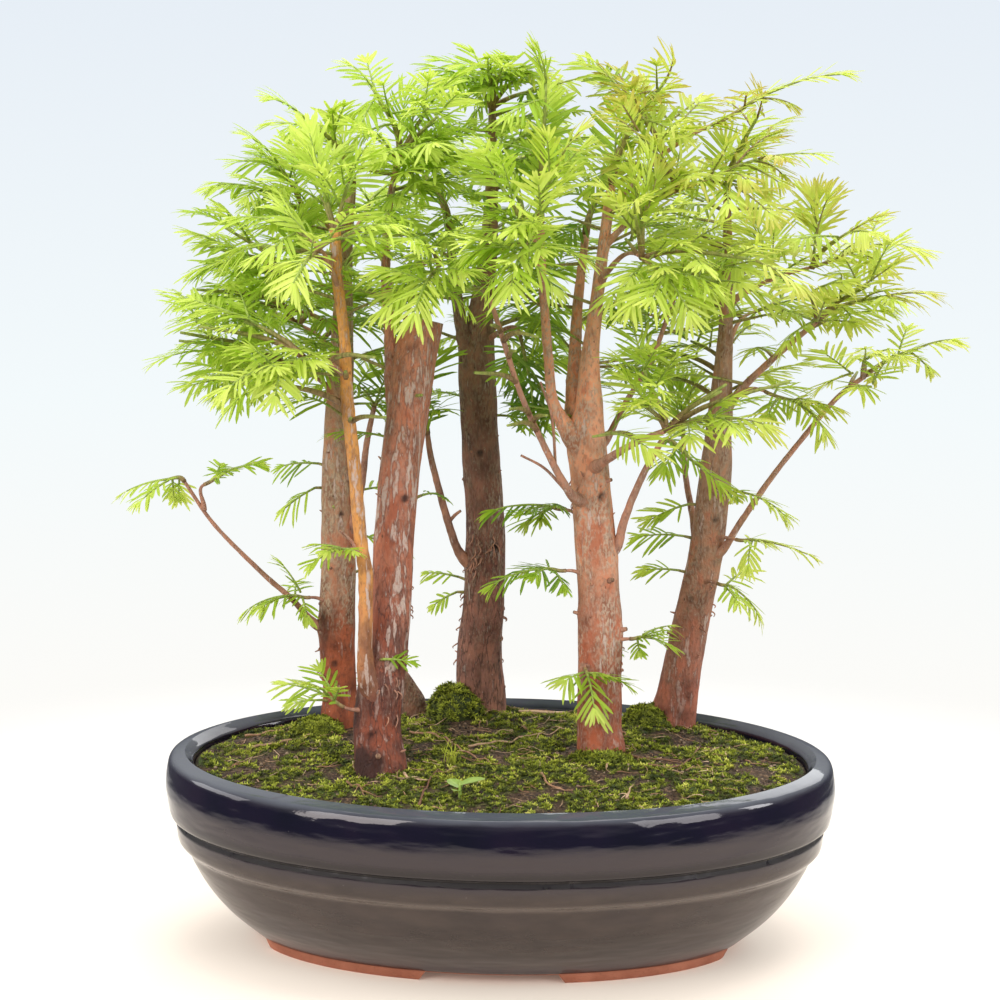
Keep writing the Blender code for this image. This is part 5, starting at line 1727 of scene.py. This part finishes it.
def make_trees(fine, plans):
    """Every tree, with the bark colours of its own."""
    cut = cut_material()
    pale, tan = (0.62, 0.46, 0.39), (0.36, 0.25, 0.17)
    young = bark_material(
        "young_bark",
        bands=((0.1, (0.34, 0.17, 0.115)), (0.3, (0.44, 0.21, 0.14)), (0.4, (0.44, 0.25, 0.11))),
        scurf=(0.5, 0.33, 0.24), scurf_band=(0.1, 0.25), streak=pale, streak_share=0.1,
        dark=(0.14, 0.055, 0.04), seed=31, depth=0.3,
    )
    orange = bark_material(
        "orange_bark",
        bands=(
            (0.11, (0.17, 0.06, 0.04)), (0.138, (0.5, 0.22, 0.08)), (0.17, (0.62, 0.28, 0.08)),
            (0.3, (0.66, 0.3, 0.07)),
        ),
        scurf=(0.56, 0.36, 0.26), scurf_band=(0.02, 0.5), streak=pale, streak_share=0.45,
        dark=(0.2, 0.07, 0.03), seed=47, depth=0.45,
    )
    barks = {
        "tree_1": dict(
            bands=(
                (0.085, (0.27, 0.07, 0.03)), (0.125, (0.22, 0.07, 0.035)), (0.15, (0.38, 0.2, 0.12)),
                (0.3, (0.44, 0.25, 0.15)),
            ),
            scurf=(0.52, 0.39, 0.27), scurf_band=(0.12, 0.155), streak=pale, streak_share=0.1,
            dark=(0.1, 0.04, 0.025), seed=2, depth=0.6, strand=1.8, cracks=0.2,
        ),
        "tree_2": dict(
            bands=(
                (0.06, (0.2, 0.05, 0.024)), (0.09, (0.12, 0.036, 0.023)), (0.118, (0.19, 0.066, 0.042)),
                (0.16, (0.42, 0.145, 0.085)), (0.28, (0.5, 0.2, 0.115)),
            ),
            scurf=(0.5, 0.33, 0.25), scurf_band=(0.0, 0.4), streak=pale, streak_share=1.15,
            dark=(0.11, 0.04, 0.03), seed=8, depth=0.85, strand=4.5, cracks=0.75,
        ),
        "tree_3": dict(
            bands=(
                (0.09, (0.24, 0.11, 0.08)), (0.13, (0.2, 0.08, 0.055)), (0.2, (0.19, 0.09, 0.06)),
                (0.32, (0.28, 0.15, 0.1)),
            ),
            scurf=tan, scurf_band=(0.06, 0.2), streak=(0.5, 0.38, 0.32), streak_share=0.1,
            dark=(0.05, 0.025, 0.018), seed=14, depth=0.85, strand=4.5, cracks=0.6,
        ),
        "tree_4": dict(
            bands=(
                (0.085, (0.26, 0.066, 0.03)), (0.12, (0.31, 0.1, 0.055)), (0.17, (0.46, 0.2, 0.12)),
                (0.23, (0.66, 0.31, 0.18)),
            ),
            scurf=(0.58, 0.42, 0.31), scurf_band=(0.07, 0.16), streak=pale, streak_share=0.0,
            dark=(0.17, 0.065, 0.04), seed=20, depth=0.5, strand=1.8, cracks=0.05,
        ),
        "tree_5": dict(
            bands=(
                (0.09, (0.32, 0.11, 0.07)), (0.13, (0.38, 0.18, 0.115)), (0.2, (0.34, 0.19, 0.115)),
                (0.3, (0.4, 0.22, 0.14)),
            ),
            scurf=(0.46, 0.32, 0.23), scurf_band=(0.08, 0.18), streak=pale, streak_share=0.15,
            dark=(0.09, 0.045, 0.03), seed=26, depth=0.55, strand=1.8, cracks=0.15,
        ),
    }
    for tree, looks in barks.items():
        make_tree(tree, fine, plans, [bark_material(tree + "_bark", **looks), young, orange, cut])
    old = bark_material(
        "stump_bark", bands=((0.08, (0.17, 0.08, 0.05)), (0.11, (0.24, 0.12, 0.08))),
        scurf=tan, scurf_band=(0.07, 0.1), streak=(0.42, 0.3, 0.24), streak_share=0.3,
        dark=(0.05, 0.03, 0.02), seed=37,
    )
    parts = Parts("scar", "peel", "red")
    add_tube(parts, smooth_route(STUMP, FINE_STEP), STUMP_SIDES, swell=woody_swell())
    parts.slots[-1] = 1
    add_piece("stump", parts, [old, cut], "bark", "stump")


def add_fronds(parts, grown, rng, middles):
    """Grow fronds on a piece, and note where each is."""
    for frond in grown:
        fine_frond(parts, frond, rng)
        middles.append(along_frond(frond, 0.6))


def make_foliage(fine_plans, plans, wobbles, fronds, routes, wood):
    """Every leafy spray as a piece, and the shoots inside the crown as one piece for each tree."""
    finishes = [leaf_material(), twig_material()]
    names = ("tint", "bronze", "vein", "wood")
    middles = []
    for index, spray in enumerate(SPRAYS):
        rng = random.Random(SEED + 100 + index)
        parts = Parts(*names)
        heading, branch, _ = fine_plans[index]
        rows, _ = twig_route(spray, plans[index], wobbles[index], 14)
        rows[0] = rows[0] - Vector((*(heading * 0.8), 0))
        fade = np.repeat(np.linspace(0.9, 0.1, len(rows)), FINE_TWIG_SIDES)
        add_tube(parts, rows, FINE_TWIG_SIDES, 1, leave=heading, wood=fade)
        twig_needles(parts, rows, spray[7], rng)
        grown = fronds[index] + fill_fronds(spray, branch, rows, rng, wood)
        if spray[4][2] > TALL_TIP:
            root, ahead, face, length, *rest = grown[0]
            grown[0] = (root, ahead, face, length * TIP_GROWTH, *rest)
        add_fronds(parts, grown, rng, middles)
        number = f"{index + 1:02d}"
        add_piece("leaves_" + number, parts, finishes, "needles", "spray_" + number)
    for tree, shoots in inner_shoots(routes, random.Random(SEED + 7), wood).items():
        rng = random.Random(SEED + 300)
        parts = Parts(*names)
        for root, frond in shoots:
            add_tube(parts, stalk(root, frond[0], 5, 0.85, 0.6), SHOOT_SIDES, 1, wood=0.6)
            add_fronds(parts, [frond], rng, middles)
        if shoots:
            add_piece("inner_shoots_" + tree[-1], parts, finishes, "needles")
    for tree, shoots in crown_shoots(routes, fine_plans, middles, random.Random(SEED + 9), wood).items():
        rng = random.Random(SEED + 400)
        parts = Parts(*names)
        for rows, chosen in shoots:
            fade = np.repeat(np.linspace(1.0, 0.2, len(rows)), SHOOT_SIDES)
            add_tube(parts, rows, SHOOT_SIDES, 1, wood=fade)
            add_fronds(parts, chosen, rng, [])
        if shoots:
            add_piece("crown_shoots_" + tree[-1], parts, finishes, "needles")


def oval(inset, z, share=1.0, sides=POT_SIDES):
    """A level ring of the pot's outline, moved in by inset and drawn in to a share of itself."""
    half_length = (POT_LENGTH / 2 - inset) * share
    half_depth = (POT_DEPTH / 2 - inset) * share
    turns = [TURN * (i + 0.5) / sides for i in range(sides)]
    return [Vector((half_length * math.cos(t), half_depth * math.sin(t), z)) for t in turns]


def smooth_wall(wall):
    """A wall's insets and heights with a smooth curve between them."""
    rows = smooth_route([(inset, z, 0, 0) for inset, z in wall], 1.3)
    return [(row.x, row.y) for row in rows]


def cutter(rings):
    """A closed object in place, for a Boolean."""
    points, faces = skin_over(rings)
    mesh = bpy.data.meshes.new("cutter")
    mesh.from_pydata([Vector(p) * MM + HOME for p in points], [], faces)
    face_outwards(mesh)
    return show("cutter", mesh)


def pot_cutters():
    """The gaps that part the foot ring, and the two drain holes."""
    made = []
    past = POT_LENGTH
    top = FOOT_HEIGHT - FOOT_LIP
    for width, along in ((FOOT_GAP_FRONT, Vector((0, 1, 0))), (FOOT_GAP_SIDE, Vector((1, 0, 0)))):
        across = UP.cross(along)
        wide = width / 2 + FOOT_GAP_SLANT
        rings = []
        for z, half in ((-past, wide), (0.0, wide), (top, width / 2)):
            ends = ((-half, -past), (half, -past), (half, past), (-half, past))
            rings.append([across * a + along * b + UP * z for a, b in ends])
        made.append(cutter(rings))
    turns = [TURN * i / DRAIN_SIDES for i in range(DRAIN_SIDES)]
    edge = [(DRAIN_RADIUS * math.cos(t), DRAIN_RADIUS * math.sin(t)) for t in turns]
    for side in (-1, 1):
        rings = []
        for z in (-FLOOR_TOP, 2 * FLOOR_TOP):
            rings.append([(side * DRAIN_OFFSET + x, y, z) for x, y in edge])
        made.append(cutter(rings))
    return made


def pot_skin():
    """Points and faces of the pot before its cuts: outer wall, foot ring, floor, inner wall and lip."""
    outside = [oval(inset, z) for inset, z in smooth_wall(OUTER_WALL) + list(FOOT_RING)]
    outside.append(oval(FOOT_RING[-1][0], FOOT_HEIGHT, FLOOR_SHARE))
    inside = [oval(INNER_WALL[0][0], FLOOR_TOP, FLOOR_SHARE)]
    inside += [oval(inset, z) for inset, z in INNER_WALL[:1] + tuple(smooth_wall(INNER_WALL[1:]))]
    points, faces = skin_over(outside, bottom=False)
    more_points, more_faces = skin_over(inside, top=False)
    first = len(points)
    faces += [tuple(i + first for i in face) for face in more_faces]
    points += more_points
    last = len(points) - POT_SIDES
    points += [(inside[-1][i] + outside[0][i]) / 2 + UP * 1.3 for i in range(POT_SIDES)]
    top = last + POT_SIDES
    for i in range(POT_SIDES):
        j = (i + 1) % POT_SIDES
        faces += [(i, j, top + j, top + i), (top + i, top + j, last + j, last + i)]
    return points, faces


def cut_out(obj, tools):
    """Cut closed objects out of another, and remove them."""
    group = bpy.data.collections.new("cutters")
    for tool in tools:
        group.objects.link(tool)
    change = obj.modifiers.new("cuts", "BOOLEAN")
    change.operation = "DIFFERENCE"
    change.solver = "EXACT"
    change.operand_type = "COLLECTION"
    change.collection = group
    bpy.context.view_layer.update()
    mesh = bpy.data.meshes.new_from_object(obj.evaluated_get(bpy.context.evaluated_depsgraph_get()))
    obj.modifiers.clear()
    obj.data = mesh
    for tool in tools:
        bpy.data.objects.remove(tool)
    bpy.data.collections.remove(group)


def make_pot():
    """The pot with its smooth glazed wall, and bare clay on the feet and underneath."""
    parts = Parts()
    parts.add(*pot_skin())
    pot = add_piece("glazed_pot", parts, [glaze_material(), terracotta_material()], "glaze", "pot")
    face_outwards(pot.data)
    cut_out(pot, pot_cutters())
    for face in pot.data.polygons:
        middle = (face.center - HOME) / MM
        inset = FOOT_RING[-2][0] + 0.4
        inner = math.hypot(middle.x / (POT_LENGTH / 2 - inset), middle.y / (POT_DEPTH / 2 - inset)) < 1
        bare = middle.z < FOOT_HEIGHT - 0.02 or (inner and middle.z < FLOOR_TOP + 0.1)
        face.material_index = int(bare)
        face.use_smooth = True
    pot.data.set_sharp_from_angle(angle=math.radians(42))


def soil_height(x, y):
    """Height of the solids' soil surface over a point of the pot."""
    inset = INNER_WALL[-2][0]
    out = min(1.0, math.hypot(x / (POT_LENGTH / 2 - inset), y / (POT_DEPTH / 2 - inset)))
    height = SOIL_EDGE + SOIL_DOME * (1 - out**3)
    for rise_x, rise_y, rise, spread in SOIL_RISES:
        away = math.hypot(x - rise_x, y - rise_y) / spread
        height += rise * math.exp(-away * away) * (1 - out**6)
    return height


def moss_cover(x, y):
    """How thickly moss covers a place: above 0 where it grows."""
    broad = sway(x, y, 26, 3.1)
    small = sway(x, y, 8, 7.7)
    return 0.17 + 0.6 * broad + 0.75 * small


def ground(x, y):
    """Height of the fine soil surface, raised where moss lies on it."""
    crumb = sway(x, y, 2.6, 0) * 0.55 + sway(x, y, 1.2, 5) * 0.3
    lumps = sway(x, y, 11, 9) * 1.3
    cover = clamp(moss_cover(x, y) * 2.5)
    return soil_height(x, y) + lumps + crumb + 1.1 * cover


def make_soil():
    """The soil body with a fine crumbly surface, close inside the pot's wall."""
    inner = [(inset, z) for inset, z in INNER_WALL[:-1]]
    rings = [oval(inner[0][0] + TOUCH_GAP, SOIL_BOTTOM, 1.0, SOIL_SIDES)]
    rings += [oval(inset + TOUCH_GAP, z + TOUCH_GAP, 1.0, SOIL_SIDES) for inset, z in inner[1:]]
    edge = rings[-1]
    green = [0.0] * (len(rings) * SOIL_SIDES)
    for k in range(1, SOIL_RINGS):
        share = 1 - k / SOIL_RINGS
        ring = []
        for p in edge:
            x, y = p.x * share, p.y * share
            ring.append(Vector((x, y, ground(x, y))))
            green.append(clamp(0.4 + moss_cover(x, y) * 2))
        rings.append(ring)
    parts = Parts("green")
    points, faces = skin_over(rings)
    parts.add(points, faces, green=green)
    add_piece("soil_surface", parts, [soil_material()], "soil", "soil")


def random_place(rng):
    """A place on the soil, evenly spread over the oval."""
    out, turn = math.sqrt(rng.random()) * 0.985, rng.uniform(0, TURN)
    inset = INNER_WALL[-2][0] + 1
    return (POT_LENGTH / 2 - inset) * out * math.cos(turn), (POT_DEPTH / 2 - inset) * out * math.sin(turn)


def tufts(parts, places, rng):
    """Moss rosettes: a few tiny folded leaves that spread from each point, face, size and tint."""
    points, tips, tints = [], [], []
    for here, up, size, tint in places:
        first = up.orthogonal().normalized()
        second = up.cross(first)
        turn = rng.uniform(0, math.pi)
        leaves = rng.choice((5, 6, 7))
        for k in range(leaves):
            angle = turn + TURN * k / leaves
            out = first * math.cos(angle) + second * math.sin(angle)
            side = up.cross(out)
            rise = rng.uniform(0.5, 1.2)
            reach = size * rng.uniform(0.7, 1.15)
            middle = here + out * (0.45 * reach) + up * (0.6 * reach * rise)
            tip = here + out * reach + up * (reach * rise)
            points += [here, middle - side * (0.2 * reach), tip, middle + side * (0.2 * reach)]
            tips += [0.0, 0.6, 1.0, 0.6]
            tints += [tint + rng.uniform(-0.1, 0.1)] * 4
    count = len(points) // 4
    faces = np.arange(count * 4).reshape(-1, 4)
    parts.add(np.array(points), faces, tip=np.array(tips), tint=np.array(tints))


def moss_tint(x, y, rng):
    """How yellow moss is at a place."""
    broad, small = sway(x, y, 15, 21), sway(x, y, 3.5, 33)
    return 0.48 + 0.45 * broad + 0.5 * small + rng.uniform(-0.16, 0.2)


def cushion_ring(middle, radii, k):
    """Ring k of a lumpy cushion, counted from its bottom."""
    rise = math.pi * k / CUSHION_STEPS
    ring = []
    for i in range(CUSHION_SIDES):
        turn = TURN * i / CUSHION_SIDES
        out = Vector((math.sin(rise) * math.cos(turn), math.sin(rise) * math.sin(turn), -math.cos(rise)))
        swell = 0.94 + 0.06 * math.sin(3 * turn + rise * 2) + 0.12 * noise.noise(out * 2.5 + middle)
        ring.append(Vector([middle[a] + radii[a] * swell * out[a] for a in range(3)]))
    return ring


def make_moss(moss):
    """The moss carpet, and the four cushions beside the trunks."""
    rng = random.Random(SEED + 1)
    parts = Parts("tint", "tip")
    places = []
    while len(places) < CARPET_TUFTS:
        x, y = random_place(rng)
        if moss_cover(x, y) + rng.uniform(-0.12, 0.12) > 0:
            lean = Vector((rng.uniform(-0.3, 0.3), rng.uniform(-0.3, 0.3), 1)).normalized()
            here = Vector((x, y, ground(x, y) - 0.2))
            places.append((here, lean, rng.uniform(0.9, 1.9), moss_tint(x, y, rng)))
    tufts(parts, places, rng)
    add_piece("moss_carpet", parts, [moss], "moss")
    for name, middle, radii in MOSS:
        parts = Parts("tint", "tip")
        rings = [cushion_ring(Vector(middle), radii, k) for k in range(1, CUSHION_STEPS)]
        parts.add(*skin_over(rings), tint=0.1, tip=0.3)
        places = []
        for _ in range(CUSHION_TUFTS):
            i, k = rng.randrange(CUSHION_SIDES), rng.randrange(CUSHION_STEPS // 2 - 1, len(rings) - 1)
            a, b, c = rings[k][i], rings[k][(i + 1) % CUSHION_SIDES], rings[k + 1][i]
            here = a + (b - a) * rng.random() + (c - a) * rng.random()
            up = ((here - Vector(middle)).normalized() + UP * 0.4).normalized()
            # Tufts that face upwards are lighter: painted light from above.
            places.append((here, up, rng.uniform(1.0, 2.0), 0.28 + rng.uniform(-0.15, 0.3) + 0.2 * up.z))
        tufts(parts, places, rng)
        add_piece(name + "_cushion", parts, [moss], "moss", name)


def lying(places, radius, lift, rng, tone):
    """Rows of a thin strand that lies on the soil through places."""
    flat = [Vector((x, y, 0, radius)) for x, y in places]
    if len(flat) == 2:
        flat.insert(1, (flat[0] + flat[1]) / 2)
    rows = smooth_route(flat, 2.0)
    last = len(rows) - 1
    for k, row in enumerate(rows):
        row.x += rng.uniform(-0.3, 0.3)
        row.y += rng.uniform(-0.3, 0.3)
        hump = 0.8 * abs(math.sin(k * 0.55 + tone * 9))
        row.z = ground(row.x, row.y) + lift + hump
        row.w = radius * (1 - 0.65 * k / last)
    return rows


def make_roots(rng):
    """Surface roots with side roots, and loose straw."""
    roots = Parts("tone")
    for k, places in enumerate(ROOTS):
        tone = 0.45 + 0.4 * math.sin(k * 2.3)
        rows = lying(places, 0.62, 0.4, rng, tone)
        add_tube(roots, rows, 7, tone=tone)
        for _ in range(3):
            here = rows[rng.randrange(2, len(rows) - 1)]
            turn = rng.uniform(0, TURN)
            reach = rng.uniform(4, 11)
            end = (here.x + reach * math.cos(turn), here.y + reach * math.sin(turn))
            side = lying([(here.x, here.y), end], 0.3, 0.3, rng, rng.random())
            add_tube(roots, side, 5, tone=tone + 0.1)
    for _ in range(STRAWS):
        x, y = random_place(rng)
        turn, reach = rng.uniform(0, TURN), rng.uniform(3, 11)
        x, y = x * 0.94, y * 0.94
        bow = rng.uniform(-0.3, 0.3)
        middle = (x + reach / 2 * math.cos(turn + bow), y + reach / 2 * math.sin(turn + bow))
        end = (x + reach * math.cos(turn), y + reach * math.sin(turn))
        strand = lying([(x, y), middle, end], rng.uniform(0.14, 0.3), 0.7, rng, rng.random())
        add_tube(roots, strand, 4, tone=rng.uniform(0.2, 1.0))
    add_piece("roots_and_straw", roots, [root_material()], "soil")


def make_stones(rng):
    """Small stones and crumbs on the soil."""
    stones = Parts("tone")
    ball = bmesh.new()
    bmesh.ops.create_icosphere(ball, subdivisions=1, radius=1.0)
    points = [v.co.copy() for v in ball.verts]
    faces = np.array([[v.index for v in f.verts] for f in ball.faces])
    ball.free()
    for _ in range(STONES):
        x, y = random_place(rng)
        size = rng.uniform(0.3, 1.0)
        squash = Vector((rng.uniform(0.7, 1.2), rng.uniform(0.7, 1.2), rng.uniform(0.5, 0.9))) * size
        here = Vector((x, y, ground(x, y) + 0.25 * size))
        lump = []
        for p in points:
            lump.append(here + Vector([p[a] * squash[a] * rng.uniform(0.8, 1.15) for a in range(3)]))
        stones.add(lump, faces, tone=rng.random() ** 2)
    add_piece("grit", stones, [grit_material()], "soil")


def make_fallen_twig():
    """The dead twig behind the trunks, in the place of its solid, and a straw beside it."""
    parts = Parts("tone")
    low_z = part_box("fallen_twig")[0].z / MM
    rows = []
    for x, y, radius in FALLEN_TWIG:
        rows.append((x, y, max(low_z + radius, soil_height(x, y) + radius), radius))
    add_tube(parts, smooth_route(rows, FINE_STEP), 10, tone=0.35)
    straw = [Vector((x, y, ground(x, y) + 1.4, 0.55)) for x, y in DEAD_STRAW]
    add_tube(parts, straw, 6, tone=0.9)
    add_piece("dead_twig", parts, [root_material()], "bark", "fallen_twig")


def seedling_material():
    """A soft leaf with a pale rib."""
    paint = Paint("seedling_leaf")
    vein = paint.math("POWER", paint.value("vein"), 6.0)
    cloud = paint.noise(0.003, 3.0)
    colour = paint.ramp(cloud, (0.3, (0.2, 0.33, 0.04)), (0.7, (0.34, 0.46, 0.08)))
    colour = paint.mix(paint.times(vein, 0.5), colour, (0.45, 0.62, 0.2))
    return paint.finish(colour, 0.45, cloud, 0.2, 0.0003)


def make_seedling():
    """A seedling with oval leaves."""
    parts = Parts("vein")
    x, y = SEEDLING
    foot = Vector((x, y, soil_height(x, y) - 1))
    top = foot + UP * 8
    add_tube(parts, stalk(foot, top, 5, 0.8, 0.6), 8)
    for k, (facing, length, half_width) in enumerate(SEEDLING_LEAVES):
        ahead = towards(facing, 0.35).normalized()
        side = ahead.cross(UP).normalized()
        above = side.cross(ahead)
        root = top - UP * (0.7 + 1.3 * k)
        points, veins = [], []
        for j in range(13):
            share = j / 12
            wide = half_width * (math.sin(math.pi * min(1.0, share * 0.92 + 0.06)) ** 0.7) + 0.1
            here = root + ahead * (share * length) - above * (length * 0.12 * share**2)
            for s in (-1, -0.5, 0, 0.5, 1):
                points.append(here + side * (wide * s) + above * (0.35 * abs(s) * wide * 0.4))
            veins += [0, 0.2, 1, 0.2, 0]
        corners = [5 * j + i for j in range(12) for i in range(4)]
        parts.add(points, [(a, a + 1, a + 6, a + 5) for a in corners], vein=veins)
    add_piece("seedling_plant", parts, [seedling_material()], "seedling", "seedling")


def make_grass(moss):
    """A tuft of fine grassy blades."""
    grass = Parts("tint", "tip")
    rng = random.Random(SEED + 4)
    for _ in range(GRASS_BLADES):
        x, y = GRASS[0] + rng.uniform(-2.5, 2.5), GRASS[1] + rng.uniform(-2.5, 2.5)
        out = level(rng.uniform(0, TURN))
        length = rng.uniform(6, 12)
        rows = []
        for k in range(7):
            share = k / 6
            here = Vector((x, y, ground(x, y))) + UP * (length * share) + out * (length * 0.5 * share**2)
            rows.append(Vector((*here, 0.32 * (1 - 0.85 * share))))
        tips = np.repeat(np.linspace(0.3, 1.0, 7), 4)
        add_tube(grass, rows, 4, swell=plain_swell, tint=0.72, tip=tips)
    add_piece("grass_tuft", grass, [moss], "moss")


def make_screens():
    """The drain screens keep their solids and get a moulded finish."""
    finish = screen_material()
    for name in ("drain_screen_1", "drain_screen_2"):
        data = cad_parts[name].data
        data.materials.clear()
        data.materials.append(finish)


def make_camera():
    """The photograph's view."""
    azimuth, elevation, roll = (math.radians(v) for v in CAMERA_TURNS)
    flat = level(azimuth)
    back = level(azimuth - math.pi / 2) * math.cos(elevation) + UP * math.sin(elevation)
    up = back.cross(flat)
    right = math.cos(roll) * flat + math.sin(roll) * up
    above = -math.sin(roll) * flat + math.cos(roll) * up
    place = Matrix((right, above, back)).transposed().to_4x4()
    place.translation = HOME + Vector(CAMERA_AIM) + back * CAMERA_AWAY
    camera = show("camera", bpy.data.cameras.new("camera"))
    camera.data.sensor_width = 36
    camera.data.lens = CAMERA_LENS
    camera.matrix_world = place
    bpy.context.scene.camera = camera


def area_light(name, place, aim, size, power, colour):
    """A large soft lamp that points at a place."""
    data = bpy.data.lights.new(name, "AREA")
    data.shape = "RECTANGLE"
    data.size, data.size_y = size
    data.energy = power
    data.color = colour
    lamp = show(name, data)
    lamp.location = place
    lamp.rotation_euler = (Vector(place) - Vector(aim)).to_track_quat("Z", "Y").to_euler()


def make_studio():
    """A pale floor, a bright dome that is dimmer at the horizon, and soft lamps."""
    world = bpy.data.worlds.new("studio")
    world.use_nodes = True
    sky = Nodes(world.node_tree)
    split = sky.nodes.new("ShaderNodeSeparateXYZ")
    sky.feed(split.inputs[0], sky.nodes.new("ShaderNodeTexCoord").outputs["Generated"])
    up = split.outputs["Z"]
    dome = sky.ramp(up, (0.02, (0.16, 0.165, 0.18)), (0.5, (0.97, 0.99, 1.0)))
    pale = ((0.045, (0.8, 0.86, 0.925)), (0.16, (0.9, 0.955, 0.973)), (0.25, (0.985, 0.972, 0.94)))
    backdrop = sky.ramp(sky.times(up, -1.0), *pale)
    seen = sky.nodes.new("ShaderNodeLightPath").outputs["Is Camera Ray"]
    sky.feed(sky.nodes["Background"].inputs["Color"], sky.mix(seen, dome, backdrop))
    sky.nodes["Background"].inputs["Strength"].default_value = 1.0
    bpy.context.scene.world = world
    mesh = bpy.data.meshes.new("floor")
    turns = [TURN * i / FLOOR_SIDES for i in range(FLOOR_SIDES)]
    edge = [(FLOOR_RADIUS * math.cos(t), FLOOR_RADIUS * math.sin(t), 0) for t in turns]
    mesh.from_pydata(edge, [], [tuple(range(FLOOR_SIDES))])
    mesh.materials.append(floor_material())
    floor = show("floor", mesh)
    floor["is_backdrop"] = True
    for lamp in LAMPS:
        area_light(*lamp)
    view = bpy.context.scene.view_settings
    view.view_transform = "Standard"
    view.look = "None"


coarse, fine = {}, {}
for tree, limbs in WOOD.items():
    for part, rows in limbs.items():
        coarse[tree, part] = smooth_route(rows, TRUNK_STEP if part == "trunk" else LEADER_STEP)
        fine[tree, part] = smooth_route(rows, FINE_TRUNK_STEP if part == "trunk" else FINE_STEP)
plans = [spray_plan(spray, coarse, BRANCH_STEPS) for spray in SPRAYS]
fine_plans = [spray_plan(spray, coarse, FINE_PLAN_STEPS) for spray in SPRAYS]
wood = [tree_of(shape) for tree in WOOD for shape in limb_shapes(tree, coarse, plans)]
wood.append(tree_of(tube(smooth_route(STUMP, TRUNK_STEP), TRUNK_SIDES, BARK_RIPPLE)))
wobbles, fronds = plan_foliage(plans, wood)
moss = moss_material()
make_camera()
make_studio()
make_pot()
make_soil()
make_trees(fine, fine_plans)
make_foliage(fine_plans, plans, wobbles, fronds, fine, wood)
make_moss(moss)
litter = random.Random(SEED + 2)
make_roots(litter)
make_stones(litter)
make_fallen_twig()
make_seedling()
make_grass(moss)
make_screens()
boxes = {"cad": CAD_BOX, "visual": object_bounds()}
{name: [list(corner) for corner in box] for name, box in boxes.items()}
